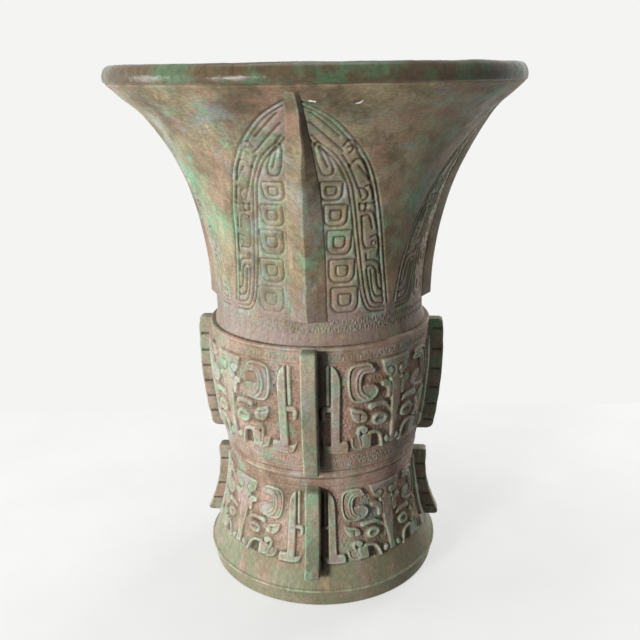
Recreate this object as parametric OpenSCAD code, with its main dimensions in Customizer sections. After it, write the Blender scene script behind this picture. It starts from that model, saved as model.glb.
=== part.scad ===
// Bronze zun wine vessel. Three cast tiers stand in each other: a flared ring foot, a barrel belly with a
// let-in floor, and a trumpet neck. Four lines of flanges are let into the walls, and the cast ornament
// between them lies on the walls.

/* [Vessel] */
// Overall height
height = 390; // [370:1:410]
// Outside diameter of the rim
mouth_d = 297; // [280:1:310]
// Thickness of the cast wall
wall = 5; // [4:0.5:6]
// Clearance all round a piece that is let into another
clearance = 0.1; // [0.05:0.05:0.3]

/* [Neck] */
// Outside diameter of the neck at its narrowest
throat_d = 159.2; // [156:0.2:163]
// Height of the throat above the bottom of the neck
throat_up = 17.5; // [14:0.5:22]
// Radius of the long curve above the throat
neck_curve_r = 250; // [220:5:280]
// Lean of the wall where the long curve turns into the rim's tighter one
neck_lean = 24; // [20:1:27]
// Height of the upright rim band
rim_h = 11.5; // [8:0.5:14]
// Stand-out of the rim band from the wall under it
rim_out = 0.8; // [0.4:0.1:1.5]
// Height of the plain collar under the neck
collar_h = 7.5; // [5:0.5:9]
// Stand-out of the collar's lower edge from the throat
collar_out = 2.2; // [1:0.1:3]
// Depth of the ring under the neck that stands inside the belly
neck_spigot_h = 10; // [6:1:14]

/* [Belly] */
// Height of the belly tier
belly_h = 105; // [96:1:114]
// Largest outside diameter of the belly
belly_d = 171.2; // [168:0.2:175]
// Distance of the largest diameter below the top of the belly
belly_apex_down = 19.5; // [14:0.5:26]
// Radius of the belly's barrel curve
belly_curve_r = 375; // [330:5:420]
// Thickness of the floor disc
floor_t = 5; // [4:0.5:7]
// Thickness of the ledge that carries the floor
ledge_t = 4.5; // [3:0.5:6]
// Width of the ledge under the floor
ledge_w = 8; // [6:0.5:10]
// Depth of the ring under the belly that stands inside the foot
belly_spigot_h = 9; // [6:1:12]

/* [Foot] */
// Height of the foot tier
foot_h = 99.5; // [92:0.5:107]
// Outside diameter of the foot at its waist
waist_d = 150; // [147:0.5:152]
// Distance of the waist below the top of the foot
waist_down = 2.5; // [1:0.5:5]
// Radius of the foot's flaring curve
foot_curve_r = 200; // [180:5:230]
// Height of the edge band that the vessel stands on
edge_h = 14; // [10:0.5:18]
// Stand-out of the edge band from the wall above it
edge_out = 0.6; // [0.4:0.1:1.5]
// Slope of the edge band, as the amount that it draws in at the bottom
edge_in = 2.2; // [0:0.2:4]

/* [Flanges] */
// Thickness of the flange plates
flange_t = 12; // [9:0.2:14]
// Stand-out of the flange plates from the wall
flange_out = 12.4; // [10:0.2:15]
// Cut-off at the lower outer corner of a flange
flange_corner = 4; // [2:0.5:6]
// Height of the belly flange's lower end above the bottom of the belly
belly_flange_up = 6.5; // [4:0.5:9]
// Distance of the belly flange's upper end below the top of the belly
belly_flange_down = 1; // [0.5:0.5:4]
// Height of the foot flange's lower end above the ground
foot_flange_up = 24.5; // [20:0.5:28]
// Distance of the foot flange's upper end below the top of the foot
foot_flange_down = 7.5; // [5:0.5:10]
// Number of notches on each side of a belly flange
belly_notches = 6; // [4:1:8]
// Number of notches on each side of a foot flange
foot_notches = 4; // [3:1:6]
// Width of a notch
notch_w = 1.8; // [1:0.2:3]
// Depth of a notch
notch_d = 1; // [0.5:0.1:2]
// Length of a notch, in from the outer edge
notch_l = 9; // [6:0.5:10]
// Width of the tongue along the root of every flange and ridge
tongue_w = 6; // [4:0.5:7]
// Depth of the tongue in the wall
tongue_d = 2; // [1:0.1:2.5]
// Distance of the tongue's ends from the flange's ends
tongue_end = 4; // [3:0.5:8]

/* [Ridges] */
// Height of the ridges' lower ends above the bottom of the neck
ridge_up = 16.5; // [14.5:0.5:19]
// Distance of the ridges' upper ends below the top of the rim
ridge_down = 15; // [13.5:0.5:20]
// Stand-out of a ridge at its lower end
ridge_out = 7.6; // [6:0.2:9]
// Half the width of a ridge at its lower end
ridge_half_w = 14; // [11:0.5:16]
// Height of the sloping end at the bottom of a ridge
ridge_bevel = 3.5; // [2:0.5:6]

/* [Ornament] */
// Relief of the animal masks
mask_relief = 2; // [1:0.1:3]
// Relief of the masks' eyes and noses
eye_relief = 3; // [1.5:0.1:4]
// Relief of the leaf blades
leaf_relief = 0.8; // [0.5:0.1:1.5]
// Relief of the thunder-pattern bands
band_relief = 0.6; // [0.4:0.1:1]
// Width of the lines in the leaf blades
leaf_line = 2; // [1.4:0.1:2.6]
// Width of the lines in the thunder-pattern bands
band_line = 1; // [0.7:0.1:1.4]
// Space between the lower end of the leaf blades and the bottom of the neck
leaf_up = 23.5; // [21:0.5:26]
// Space between the tips of the leaf blades and the top of the rim
leaf_down = 22; // [20:0.5:26]
// Height of the thunder pattern round the neck
neck_band_h = 9; // [7:0.5:10]
// Height of the thunder pattern along the top of the belly
upper_band_h = 6.5; // [5:0.5:8]
// Height of the thunder pattern along the bottom of the belly
lower_band_h = 10; // [7:0.5:11]
// Distance of the upper pattern below the top of the belly
upper_band_down = 4.5; // [3:0.5:6]
// Height of the lower pattern above the bottom of the belly
lower_band_up = 9.5; // [7:0.5:11]
// Space between the belly's masks and the patterns above and below them
mask_gap = 2; // [1:0.5:4]
// Height of the foot's masks above the ground
foot_mask_up = 32; // [28:0.5:36]
// Distance of the foot's masks below the top of the foot
foot_mask_down = 11.5; // [9:0.5:15]

/* [Hidden] */

// Smoothness of the revolved walls, and of the long curves in their outlines
$fn = 180;
curve_fn = 1440;
// Beyond the vessel in any direction
far = 2 * height;
// Small run-out of a cut past the face that it starts from
past = 1;
// Small step where two curves of an outline meet
seam = 0.1;

// Azimuths of the flange lines: front, right, back, left
front = -90;
right = 0;
back = 90;
left = 180;
quarter = 90;

// Levels of the tiers, up from the ground
belly_z = foot_h;
neck_z = belly_z + belly_h;
rim_z = height - rim_h;
throat_z = neck_z + throat_up;
floor_z = belly_z + ledge_t;

// The neck's outline: a long arc from the throat, then a tighter one that ends under the rim
throat_r = throat_d / 2;
mouth_r = mouth_d / 2;
long_c = [throat_r + neck_curve_r, throat_z];
turn = [long_c.x - neck_curve_r * cos(neck_lean), throat_z + neck_curve_r * sin(neck_lean)];
rim_run = [mouth_r - rim_out, rim_z] - turn;
rim_lean = atan2(rim_run.x, rim_run.y);
tight_r = norm(rim_run) / (2 * sin(rim_lean - neck_lean));
tight_c = turn + tight_r * [cos(neck_lean), -sin(neck_lean)];

// The belly's barrel arc and the foot's hollow one
belly_c = [belly_d / 2 - belly_curve_r, neck_z - belly_apex_down];
foot_c = [waist_d / 2 + foot_curve_r, foot_h - waist_down];

// Outside radius of the walls at a level, at a distance out from the wall
function turn_z(out) = turn.y - out * sin(neck_lean);
function long_r_at(z, out) = long_c.x - sqrt(pow(neck_curve_r - out, 2) - pow(z - long_c.y, 2));
function tight_r_at(z, out) = tight_c.x - sqrt(pow(tight_r - seam - out, 2) - pow(z - tight_c.y, 2));
function neck_r(z, out = 0) =
    z < throat_z ? throat_r + out : z < turn_z(out) ? long_r_at(z, out) : tight_r_at(z, out);
function belly_r(z, out = 0) = belly_c.x + sqrt(pow(belly_curve_r + out, 2) - pow(z - belly_c.y, 2));
function foot_r(z, out = 0) = foot_c.x - sqrt(pow(foot_curve_r - out, 2) - pow(z - foot_c.y, 2));

// Fits between the tiers
neck_bore_r = throat_r - wall;
neck_spigot_r = throat_r - clearance;
belly_spigot_r = foot_r(belly_z - belly_spigot_h, -wall) - clearance;
belly_spigot_bore_r = belly_spigot_r - wall;
floor_r = belly_r(floor_z, -wall) - clearance;
ledge_bore_r = min(floor_r - ledge_w, belly_spigot_bore_r);

// Levels of the flanges and the ornament
belly_flange_z = [belly_z + belly_flange_up, neck_z - belly_flange_down];
foot_flange_z = [foot_flange_up, foot_h - foot_flange_down];
ridge_z = [neck_z + ridge_up, height - ridge_down];
leaf_z = [neck_z + leaf_up, height - leaf_down];
lower_band_z = belly_z + lower_band_up;
upper_band_z = neck_z - upper_band_down - upper_band_h;
neck_band_z = neck_z + collar_h + band_line;
belly_mask_z = [lower_band_z + lower_band_h + mask_gap, upper_band_z - mask_gap];
foot_mask_z = [foot_mask_up, foot_h - foot_mask_down];

// Patina colours of the cast bronze
wall_colour = "#75685a";
flange_colour = "#6f8069";
relief_colour = "#87826f";

// Outlines of the tiers in the half plane of radius and height, with the wall moved out or in
module slab(r, z0, z1) {
    translate([0, z0]) square([r, z1 - z0]);
}

module long_disc(c, r) {
    translate(c) circle(r = r, $fn = curve_fn);
}

module neck_outline(out = 0) {
    slab(throat_r + out, neck_z, throat_z);
    difference() {
        slab(long_c.x, throat_z, turn_z(out));
        long_disc(long_c, neck_curve_r - out);
    }
    difference() {
        slab(tight_c.x, turn_z(out), rim_z);
        long_disc(tight_c, tight_r - seam - out);
    }
}

module belly_outline(out = 0) {
    intersection() {
        slab(far, belly_z, neck_z);
        long_disc(belly_c, belly_curve_r + out);
    }
}

module foot_outline(out = 0) {
    edge_r = foot_r(edge_h) + edge_out + out;
    difference() {
        slab(foot_c.x, edge_h, foot_h);
        long_disc(foot_c, foot_curve_r - out);
    }
    polygon([[0, 0], [edge_r - edge_in, 0], [edge_r, edge_h], [0, edge_h]]);
}

module tier_outline(tier, out = 0) {
    if (tier == "neck") neck_outline(out);
    if (tier == "belly") belly_outline(out);
    if (tier == "foot") foot_outline(out);
}

// The layer of a tier between two distances from its wall, from one level to another
module layer(tier, inner, outer, z) {
    intersection() {
        difference() {
            tier_outline(tier, outer);
            tier_outline(tier, inner);
        }
        slab(far, z[0], z[1]);
    }
}

// A flat outline in radius and height, stood up along an azimuth as a plate
module plate(azimuth, t) {
    rotate([0, 0, azimuth]) rotate([90, 0, 0]) linear_extrude(height = t, center = true) children();
}

// Groove in a wall for a flange's tongue, and the tongue that lies in it
module tongue_groove(tier, azimuth, z) {
    reach = [z[0] + tongue_end - clearance, z[1] - tongue_end + clearance];
    plate(azimuth, tongue_w + 2 * clearance)
        layer(tier, -tongue_d - clearance, past, reach);
}

module tongue(tier, azimuth, z) {
    plate(azimuth, tongue_w)
        layer(tier, -tongue_d, 0, [z[0] + tongue_end, z[1] - tongue_end]);
}

module all_grooves(tier, z) {
    for (azimuth = [front, right, back, left]) tongue_groove(tier, azimuth, z);
}

// The tiers
module neck() {
    ridge_root = [ridge_z[0], ridge_tongue_top()];
    color(wall_colour) difference() {
        rotate_extrude() difference() {
            union() {
                neck_outline();
                slab(mouth_r, rim_z - seam, height);
                slab(neck_spigot_r, neck_z - neck_spigot_h, neck_z);
                polygon([
                    [0, neck_z], [throat_r + collar_out, neck_z],
                    [throat_r, neck_z + collar_h], [0, neck_z + collar_h]
                ]);
            }
            neck_outline(-wall);
            slab(neck_bore_r, neck_z - neck_spigot_h - past, throat_z);
            slab(neck_r(rim_z - past, -wall) - seam, rim_z - past, height + past);
        }
        all_grooves("neck", ridge_root);
    }
}

module belly() {
    color(wall_colour) difference() {
        rotate_extrude() difference() {
            union() {
                belly_outline();
                slab(belly_spigot_r, belly_z - belly_spigot_h, belly_z);
            }
            intersection() {
                belly_outline(-wall);
                slab(far, floor_z, neck_z - neck_spigot_h);
            }
            slab(throat_r, neck_z - neck_spigot_h, neck_z + past);
            slab(ledge_bore_r, belly_z - past, floor_z + past);
            slab(belly_spigot_bore_r, belly_z - belly_spigot_h - past, belly_z);
        }
        all_grooves("belly", belly_flange_z);
    }
}

module vessel_floor() {
    color(wall_colour) translate([0, 0, floor_z]) cylinder(h = floor_t, r = floor_r);
}

module foot() {
    color(wall_colour) difference() {
        rotate_extrude() difference() {
            foot_outline();
            foot_outline(-wall);
            slab(foot_r(edge_h, -wall) - edge_in, -past, edge_h);
        }
        all_grooves("foot", foot_flange_z);
    }
}

// Notched plate flanges of the belly and the foot
module notches(tier, azimuth, z, count) {
    step = (z[1] - z[0]) / (count + 1);
    for (side = [-1, 1])
        for (i = [1 : count])
            rotate([0, 0, azimuth]) translate([0, side * flange_t / 2, 0])
                rotate([90, 0, 0]) linear_extrude(height = 2 * notch_d, center = true)
                    layer(tier, flange_out - notch_l, flange_out + past,
                        [z[0] + i * step - notch_w / 2, z[0] + i * step + notch_w / 2]);
}

module plate_flange(tier, azimuth, z, wall_r, count) {
    corner = wall_r + flange_out - flange_corner;
    color(flange_colour) {
        difference() {
            plate(azimuth, flange_t) difference() {
                layer(tier, 0, flange_out, z);
                polygon([
                    [corner, z[0] - past], [corner + far, z[0] - past],
                    [corner + far, z[0] + far], [corner, z[0]]
                ]);
            }
            rotate_extrude() tier_outline(tier);
            notches(tier, azimuth, z, count);
        }
        tongue(tier, azimuth, z);
    }
}

module belly_flange(azimuth) {
    plate_flange("belly", azimuth, belly_flange_z, belly_r(belly_flange_z[0]), belly_notches);
}

module foot_flange(azimuth) {
    plate_flange("foot", azimuth, foot_flange_z, foot_r(foot_flange_z[0]), foot_notches);
}

// Roof-shaped ridges of the neck: stand-out and half width along the way up
ridge_steps = 14;
ridge_tip_half = 1;
// Share of its stand-out that the crest loses on the way up, and how late it comes down to the wall
ridge_fall = 0.25;
ridge_drop = 6;
// How late, and how bluntly, the sides close on the tip
ridge_bow = 1.7;
ridge_blunt = 0.6;
// Share of the ridge's height that its tongue takes up
ridge_tongue_share = 0.75;
function ridge_level(i) = ridge_z[0] + (ridge_z[1] - ridge_z[0]) * i / ridge_steps;
function ridge_share(z) = (z - ridge_z[0]) / (ridge_z[1] - ridge_z[0]);
function ridge_top_out(z) =
    ridge_out * (1 - pow(ridge_share(z), ridge_drop)) * (1 - ridge_fall * ridge_share(z));
function ridge_half(z) =
    ridge_tip_half + ridge_half_w * pow(1 - pow(ridge_share(z), ridge_bow), ridge_blunt);
function ridge_tongue_top() = ridge_z[0] + (ridge_z[1] - ridge_z[0]) * ridge_tongue_share;
// A level's three corners: the crest, and the two sides' feet just inside the wall
function ridge_ring(z, top_out) =
    let (w = ridge_half(z), root = neck_r(z) - past, foot = sqrt(root * root - w * w))
    [[neck_r(z) + top_out, 0, z], [foot, w, z], [foot, -w, z]];

module neck_ridge(azimuth) {
    levels = [for (i = [1 : ridge_steps - 1]) ridge_level(i)];
    rings = concat(
        [ridge_ring(ridge_z[0], -past / 2), ridge_ring(ridge_z[0] + ridge_bevel, ridge_out)],
        [for (z = levels) ridge_ring(z, ridge_top_out(z))],
        [ridge_ring(ridge_z[1], -past / 2)]
    );
    last = len(rings) - 1;
    points = [for (ring = rings) each ring];
    sides = [
        for (i = [0 : last - 1]) for (j = [0 : 2])
            let (a = 3 * i + j, b = 3 * i + (j + 1) % 3)
            each [[a, b + 3, b], [a, a + 3, b + 3]]
    ];
    ends = [[0, 1, 2], [3 * last + 2, 3 * last + 1, 3 * last]];
    color(flange_colour) {
        difference() {
            rotate([0, 0, azimuth]) polyhedron(points, concat(sides, ends));
            rotate_extrude() neck_outline();
        }
        tongue("neck", azimuth, [ridge_z[0], ridge_tongue_top()]);
    }
}

// Strokes for the ornament: a line of points drawn at an even width
function unit(v) = v / norm(v);
function heading(p, i) =
    let (before = i > 0 ? unit(p[i] - p[i - 1]) : [0, 0])
    let (after = i < len(p) - 1 ? unit(p[i + 1] - p[i]) : [0, 0])
    unit(before + after);
function side_of(p, i, half) = p[i] + half * [-heading(p, i).y, heading(p, i).x];

module stroke(line, w) {
    last = len(line) - 1;
    polygon(concat(
        [for (i = [0 : last]) side_of(line, i, w / 2)],
        [for (i = [last : -1 : 0]) side_of(line, i, -w / 2)]
    ));
}

// A flat drawing, with points as [across, up], pressed onto a tier as a relief
module relief(tier, azimuth, z, h) {
    intersection() {
        rotate([0, 0, azimuth]) rotate([90, 0, 90]) linear_extrude(height = far) children();
        rotate_extrude() layer(tier, clearance, h, z);
    }
}

// Animal mask. Points are [degrees from the flange line, share of the mask's height], for one half
mask_half = 45;
mask_mid = mask_half / 2;
// Height that the widths below belong to
mask_drawn_h = 70;
mask_strip_w = 2.6;
mask_hook_w = 3.2;
mask_outer_horn_w = 2.4;
mask_inner_horn_w = 3.2;
mask_curl_w = 2.6;
mask_toe_w = 1.8;
mask_blob_r = 3.2;
mask_eye = [6.8, 5.2];
mask_eye_at = [35.6, 0.345];
mask_blob_at = [42.2, 0.065];
mask_strip = [[8.8, 0.58], [8.8, 0.985]];
mask_hook = [[11, 0.53], [8, 0.53], [6.8, 0.49], [7, 0.42]];
mask_bar = [
    [8.4, 0.01], [18.8, 0.01], [18.8, 0.09], [17.6, 0.125], [14.9, 0.125], [14.9, 0.8], [14.4, 0.9],
    [13, 0.96], [10.6, 0.99], [10.6, 0.1], [8, 0.1], [6.2, 0.135], [7.2, 0.05]
];
mask_outer_horn = [
    [28.2, 0.98], [22, 0.98], [19.4, 0.95], [18.9, 0.87], [18.9, 0.75], [19.6, 0.67], [21, 0.61], [24.8, 0.58]
];
mask_inner_horn = [
    [29, 0.925], [25.5, 0.925], [23.4, 0.88], [23, 0.8], [23.4, 0.72], [24.8, 0.65], [28.4, 0.605],
    [32.6, 0.625], [33.4, 0.69]
];
mask_ear = [
    [19.2, 0.52], [25.3, 0.49], [28.2, 0.44], [28.7, 0.4], [27.9, 0.35], [22.8, 0.34], [20.8, 0.385],
    [19.6, 0.45]
];
mask_brow = [[29, 0.535], [38.6, 0.54], [40.2, 0.47], [38.6, 0.49], [32, 0.49], [30.4, 0.465]];
mask_curl = [[27.6, 0.26], [26.6, 0.29], [24.6, 0.3], [22.6, 0.275], [24, 0.215], [25.6, 0.13]];
mask_jaw = [
    [24.8, 0.15], [27, 0.2], [31, 0.205], [36, 0.2], [38.4, 0.13], [40.2, 0.02], [38.2, 0.02],
    [36.6, 0.11], [34.4, 0.155], [32, 0.16], [31.4, 0.02], [26, 0.02]
];
mask_toe = [[20.8, 0.115], [21.8, 0.06], [24, 0.035], [26.5, 0.035]];
mask_shield = [
    [45, 0.985], [35.8, 0.985], [37.2, 0.89], [38.8, 0.83], [41, 0.8], [43, 0.795], [43, 0.775],
    [40, 0.775], [35.8, 0.76], [36, 0.69], [38, 0.69], [39.6, 0.655], [39.2, 0.585], [41, 0.585],
    [42.7, 0.64], [45, 0.64]
];
mask_nose = [[45, 0.66], [43.2, 0.66], [43.4, 0.4], [42.8, 0.2], [43.6, 0.1], [45, 0.08]];

module mask_strokes(place, wide) {
    stroke(place(mask_strip), mask_strip_w * wide);
    stroke(place(mask_hook), mask_hook_w * wide);
    polygon(place(mask_bar));
    stroke(place(mask_outer_horn), mask_outer_horn_w * wide);
    stroke(place(mask_inner_horn), mask_inner_horn_w * wide);
    polygon(place(mask_ear));
    polygon(place(mask_brow));
    stroke(place(mask_curl), mask_curl_w * wide);
    polygon(place(mask_jaw));
    stroke(place(mask_toe), mask_toe_w * wide);
    translate(place([mask_blob_at])[0]) circle(r = mask_blob_r * wide);
}

module mask_eye_boss(place, wide) {
    at = place([mask_eye_at])[0];
    polygon([for (a = [0 : 20 : 340]) at + wide * [mask_eye.x * cos(a), mask_eye.y * sin(a)]]);
}

module mask_middle(place) {
    polygon(place(mask_shield));
    polygon(place(mask_nose));
}

module mask(tier, line, z, wall_r) {
    rise = z[1] - z[0];
    wide = rise / mask_drawn_h;
    place = function(p)
        [for (q = p) [wall_r * sin(q[0] - mask_mid), z[0] + rise * q[1]]];
    middle = function(p)
        [for (q = p) [wall_r * sin(q[0] - mask_half), z[0] + rise * q[1]]];
    color(relief_colour) for (half = [0, 1]) {
        azimuth = line + mask_mid + half * mask_half;
        relief(tier, azimuth, z, mask_relief) mirror([half, 0]) mask_strokes(place, wide);
        relief(tier, azimuth, z, eye_relief) mirror([half, 0]) mask_eye_boss(place, wide);
    }
    color(relief_colour) relief(tier, line + mask_half, z, mask_relief) {
        mask_middle(middle);
        mirror([1, 0]) mask_middle(middle);
    }
}

module belly_mask(line) {
    mask("belly", line, belly_mask_z, belly_d / 2);
}

module foot_mask(line) {
    mask("foot", line, foot_mask_z, foot_r((foot_mask_z[0] + foot_mask_z[1]) / 2));
}

// Leaf blade round a ridge. Points are [degrees from the flange line, share of the blade's height]
leaf_mid = 24;
leaf_cells = 5;
leaf_edge = [
    [43.6, 0.01], [41.9, 0.1], [39.2, 0.24], [35.9, 0.37], [32, 0.5], [27.4, 0.635], [22.1, 0.757],
    [14.9, 0.87], [8, 0.96]
];
leaf_spine = [
    [29.4, 0.01], [27, 0.14], [24.7, 0.26], [22.1, 0.385], [19.8, 0.535], [17.2, 0.64], [13.6, 0.733],
    [9.9, 0.793], [7.4, 0.845]
];
leaf_loop = [[6.6, 0.78], [6, 0.71], [7.2, 0.68], [9.4, 0.68], [10.4, 0.71], [8, 0.79]];
leaf_hooks = [
    [[40, 0.02], [34, 0.025], [31.8, 0.06], [31, 0.2], [33.2, 0.21], [34.6, 0.12], [38.6, 0.11]],
    [[39.6, 0.15], [38, 0.24], [28.6, 0.24]],
    [[27.4, 0.29], [34.4, 0.29], [35, 0.36], [31.6, 0.385], [29, 0.35]],
    [[33, 0.43], [27, 0.42], [26, 0.5], [28.6, 0.51]],
    [[30.2, 0.5], [28.4, 0.565], [22.6, 0.555]],
    [[20.4, 0.62], [26, 0.62], [23.6, 0.69], [18.6, 0.72]]
];
// Cells of the blade's inner column: the lowest cell's value, and the change from each cell to the next
cell_low = [0.012, 0.14];
cell_rise = [0.118, -0.0085];
cell_near = [11.4, -1.15];
cell_far = [24.6, -2.45];
// Share of a cell that its rounded lower corners take up
cell_soft = 0.3;
// Degrees across that make up a whole blade's height upwards
cell_across = 80;
function cell_at(values, i) = values[0] + values[1] * i;
function cell_outline(i, inset) =
    let (a = cell_at(cell_near, i) + cell_across * inset, b = cell_at(cell_far, i) - cell_across * inset)
    let (c = cell_at(cell_low, i) + inset, d = cell_at(cell_low, i) + cell_at(cell_rise, i) - inset)
    let (soft = cell_soft * (b - a), up = cell_soft * (d - c))
    [[a, d], [a, c + up], [a + soft, c], [b - soft, c], [b, c + up], [b, d]];

module neck_leaf(line) {
    rise = leaf_z[1] - leaf_z[0];
    cell_ring = leaf_line / rise;
    place = function(p) [
        for (q = p) let (z = leaf_z[0] + rise * q[1]) [neck_r(z) * sin(q[0] - leaf_mid), z]
    ];
    color(relief_colour) for (side = [0, 1])
        relief("neck", line + (1 - 2 * side) * leaf_mid, leaf_z, leaf_relief)
            mirror([side, 0]) {
                stroke(place(leaf_edge), leaf_line);
                stroke(place(leaf_spine), leaf_line);
                stroke(place(leaf_loop), leaf_line);
                for (hook = leaf_hooks) stroke(place(hook), leaf_line);
                for (i = [0 : leaf_cells - 1]) {
                    difference() {
                        polygon(place(cell_outline(i, 0)));
                        polygon(place(cell_outline(i, cell_ring)));
                    }
                    polygon(place(cell_outline(i, 2 * cell_ring)));
                }
            }
}

// Bands of squared spirals, in turn upright and upside down
spiral_turn = 0.3;
spiral_end = 0.62;
spiral_in = 0.1;
// Share of its place in the band that a spiral takes up
spiral_share = 0.62;
// Spirals in each quarter, and degrees that the belly's bands keep from a flange line
neck_spirals = 12;
upper_spirals = 10;
lower_spirals = 8;
belly_band_from = 5;
function spiral(h, w) = [
    [-w / 2, 0], [-w / 2, h], [w / 2, h], [w / 2, spiral_turn * h], [-spiral_in * w, spiral_turn * h],
    [-spiral_in * w, spiral_end * h]
];

module spiral_band(tier, z, h, wall_r, from, count) {
    step = (quarter - 2 * from) / count;
    w = spiral_share * step * PI / 180 * wall_r;
    shape = spiral(h - band_line, w);
    color(relief_colour) for (line = [front, right, back, left])
        for (i = [0 : count - 1])
            relief(tier, line + from + (i + 0.5) * step, [z, z + h], band_relief)
                translate([0, z + h / 2]) rotate(180 * (i % 2)) translate([0, (band_line - h) / 2])
                    stroke(shape, band_line);
}

module neck_band() {
    spiral_band("neck", neck_band_z, neck_band_h, throat_r, 0, neck_spirals);
}

module belly_upper_band() {
    spiral_band("belly", upper_band_z, upper_band_h, belly_d / 2, belly_band_from, upper_spirals);
}

module belly_lower_band() {
    spiral_band("belly", lower_band_z, lower_band_h, belly_r(lower_band_z), belly_band_from, lower_spirals);
}

neck();
belly();
vessel_floor();
foot();
neck_ridge(front);  // neck_ridge_front
neck_ridge(right);  // neck_ridge_right
neck_ridge(back);  // neck_ridge_back
neck_ridge(left);  // neck_ridge_left
belly_flange(front);  // belly_flange_front
belly_flange(right);  // belly_flange_right
belly_flange(back);  // belly_flange_back
belly_flange(left);  // belly_flange_left
foot_flange(front);  // foot_flange_front
foot_flange(right);  // foot_flange_right
foot_flange(back);  // foot_flange_back
foot_flange(left);  // foot_flange_left
neck_leaf(front);  // neck_leaf_front
neck_leaf(right);  // neck_leaf_right
neck_leaf(back);  // neck_leaf_back
neck_leaf(left);  // neck_leaf_left
belly_mask(front);  // belly_mask_1
belly_mask(right);  // belly_mask_2
belly_mask(back);  // belly_mask_3
belly_mask(left);  // belly_mask_4
foot_mask(front);  // foot_mask_1
foot_mask(right);  // foot_mask_2
foot_mask(back);  // foot_mask_3
foot_mask(left);  // foot_mask_4
neck_band();
belly_upper_band();
belly_lower_band();
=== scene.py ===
"""Bronze zun wine vessel: cast relief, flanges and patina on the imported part, seen as in the photo."""
import math

import bpy
import numpy as np
from mathutils import Matrix, Vector


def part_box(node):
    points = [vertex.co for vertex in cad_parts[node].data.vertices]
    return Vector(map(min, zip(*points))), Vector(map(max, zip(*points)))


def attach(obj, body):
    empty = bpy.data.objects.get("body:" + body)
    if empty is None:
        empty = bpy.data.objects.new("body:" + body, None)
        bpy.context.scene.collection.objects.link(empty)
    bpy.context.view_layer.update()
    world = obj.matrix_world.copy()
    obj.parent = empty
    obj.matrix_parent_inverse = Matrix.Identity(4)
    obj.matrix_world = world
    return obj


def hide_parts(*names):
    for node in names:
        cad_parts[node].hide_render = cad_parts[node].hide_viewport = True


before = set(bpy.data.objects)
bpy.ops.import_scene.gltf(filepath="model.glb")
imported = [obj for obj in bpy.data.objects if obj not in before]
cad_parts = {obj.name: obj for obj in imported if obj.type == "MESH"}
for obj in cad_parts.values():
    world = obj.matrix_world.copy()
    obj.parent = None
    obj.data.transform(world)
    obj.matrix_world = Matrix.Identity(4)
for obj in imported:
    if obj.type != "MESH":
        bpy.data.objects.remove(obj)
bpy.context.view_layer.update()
scene = bpy.context.scene

MM = 0.001


def box_mm(node):
    """Lowest and highest corner of a CAD node, in millimetres."""
    low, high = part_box(node)
    return np.array(low) / MM, np.array(high) / MM


def level_span(node):
    """Lowest and highest level of a CAD node."""
    low, high = box_mm(node)
    return low[2], high[2]


# Levels and radii in millimetres. What the frame shows is read from it
HEIGHT = box_mm("neck")[1][2]
MOUTH_R = box_mm("neck")[1][0]
NECK_Z = box_mm("belly")[1][2]
BELLY_Z = box_mm("foot")[1][2]
FLOOR_Z = level_span("vessel_floor")
FLOOR_R = box_mm("vessel_floor")[1][0]
BELLY_FLANGE_Z = level_span("belly_flange_front")
FOOT_FLANGE_Z = level_span("foot_flange_front")
RIDGE_LOW = level_span("neck_ridge_front")[0]
MASK_Z = {tier: level_span(f"{tier}_mask_1") for tier in ("belly", "foot")}
WALL = 5.0
THROAT_R = 79.6
THROAT_Z = NECK_Z + 17.5
LONG_ARC = 250.0
LEAN = math.radians(24)
RIM_H = 11.5
RIM_OUT = 0.8
COLLAR_OUT = 2.2
COLLAR_H = 7.5
SPIGOT_H = 10.0
BELLY_R = 85.6
BELLY_ARC = 375.0
APEX_Z = NECK_Z - 19.5
WAIST_R = 75.0
WAIST_Z = BELLY_Z - 2.5
FOOT_ARC = 200.0
EDGE_H = 14.0
EDGE_OUT = 0.6
EDGE_IN = 2.2

# Azimuths of the flange lines, degrees from one to the middle of a panel, and the grid round the vessel
LINES = {"front": -90.0, "right": 0.0, "back": 90.0, "left": 180.0}
MIDDLE = 45.0
COLUMNS = 960
HALF = COLUMNS // 8
INNER_STEP = 4
ROW = 0.6
NECK_ROW = 0.75
INNER_ROW = 4.0
ORNAMENT_SHIFT = -2


# Outlines of the walls
LONG_C = (THROAT_R + LONG_ARC, THROAT_Z)
TURN = (LONG_C[0] - LONG_ARC * math.cos(LEAN), THROAT_Z + LONG_ARC * math.sin(LEAN))
RIM_RUN = (MOUTH_R - RIM_OUT - TURN[0], HEIGHT - RIM_H - TURN[1])
TIGHT_ARC = math.hypot(*RIM_RUN) / (2 * math.sin(math.atan2(*RIM_RUN) - LEAN))
TIGHT_C = (TURN[0] + TIGHT_ARC * math.cos(LEAN), TURN[1] - TIGHT_ARC * math.sin(LEAN))


def neck_r(z, out=0.0):
    """Radius of the neck's wall at a level, moved out by a distance."""
    z = np.asarray(z, float)
    turn_z = TURN[1] - out * math.sin(LEAN)
    up = np.clip(z - THROAT_Z, 0, turn_z - THROAT_Z)
    long_part = LONG_C[0] - np.sqrt((LONG_ARC - out) ** 2 - up**2)
    rise = np.clip(z, turn_z, HEIGHT) - TIGHT_C[1]
    tight_part = TIGHT_C[0] - np.sqrt((TIGHT_ARC - out) ** 2 - rise**2)
    return np.where(z < turn_z, long_part, tight_part)


# Where the neck is cast fuller than a plain curve: level, how far up and down, and by how much
SWELLS = ((HEIGHT - 21, 6.5, 2.2), (HEIGHT - 52, 22.0, 1.7))


def swollen_r(z, out=0.0):
    """Radius of the neck's outside as cast."""
    z = np.asarray(z, float)
    return neck_r(z, out) + sum(by * np.exp(-(((z - at) / reach) ** 2)) for at, reach, by in SWELLS)


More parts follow.
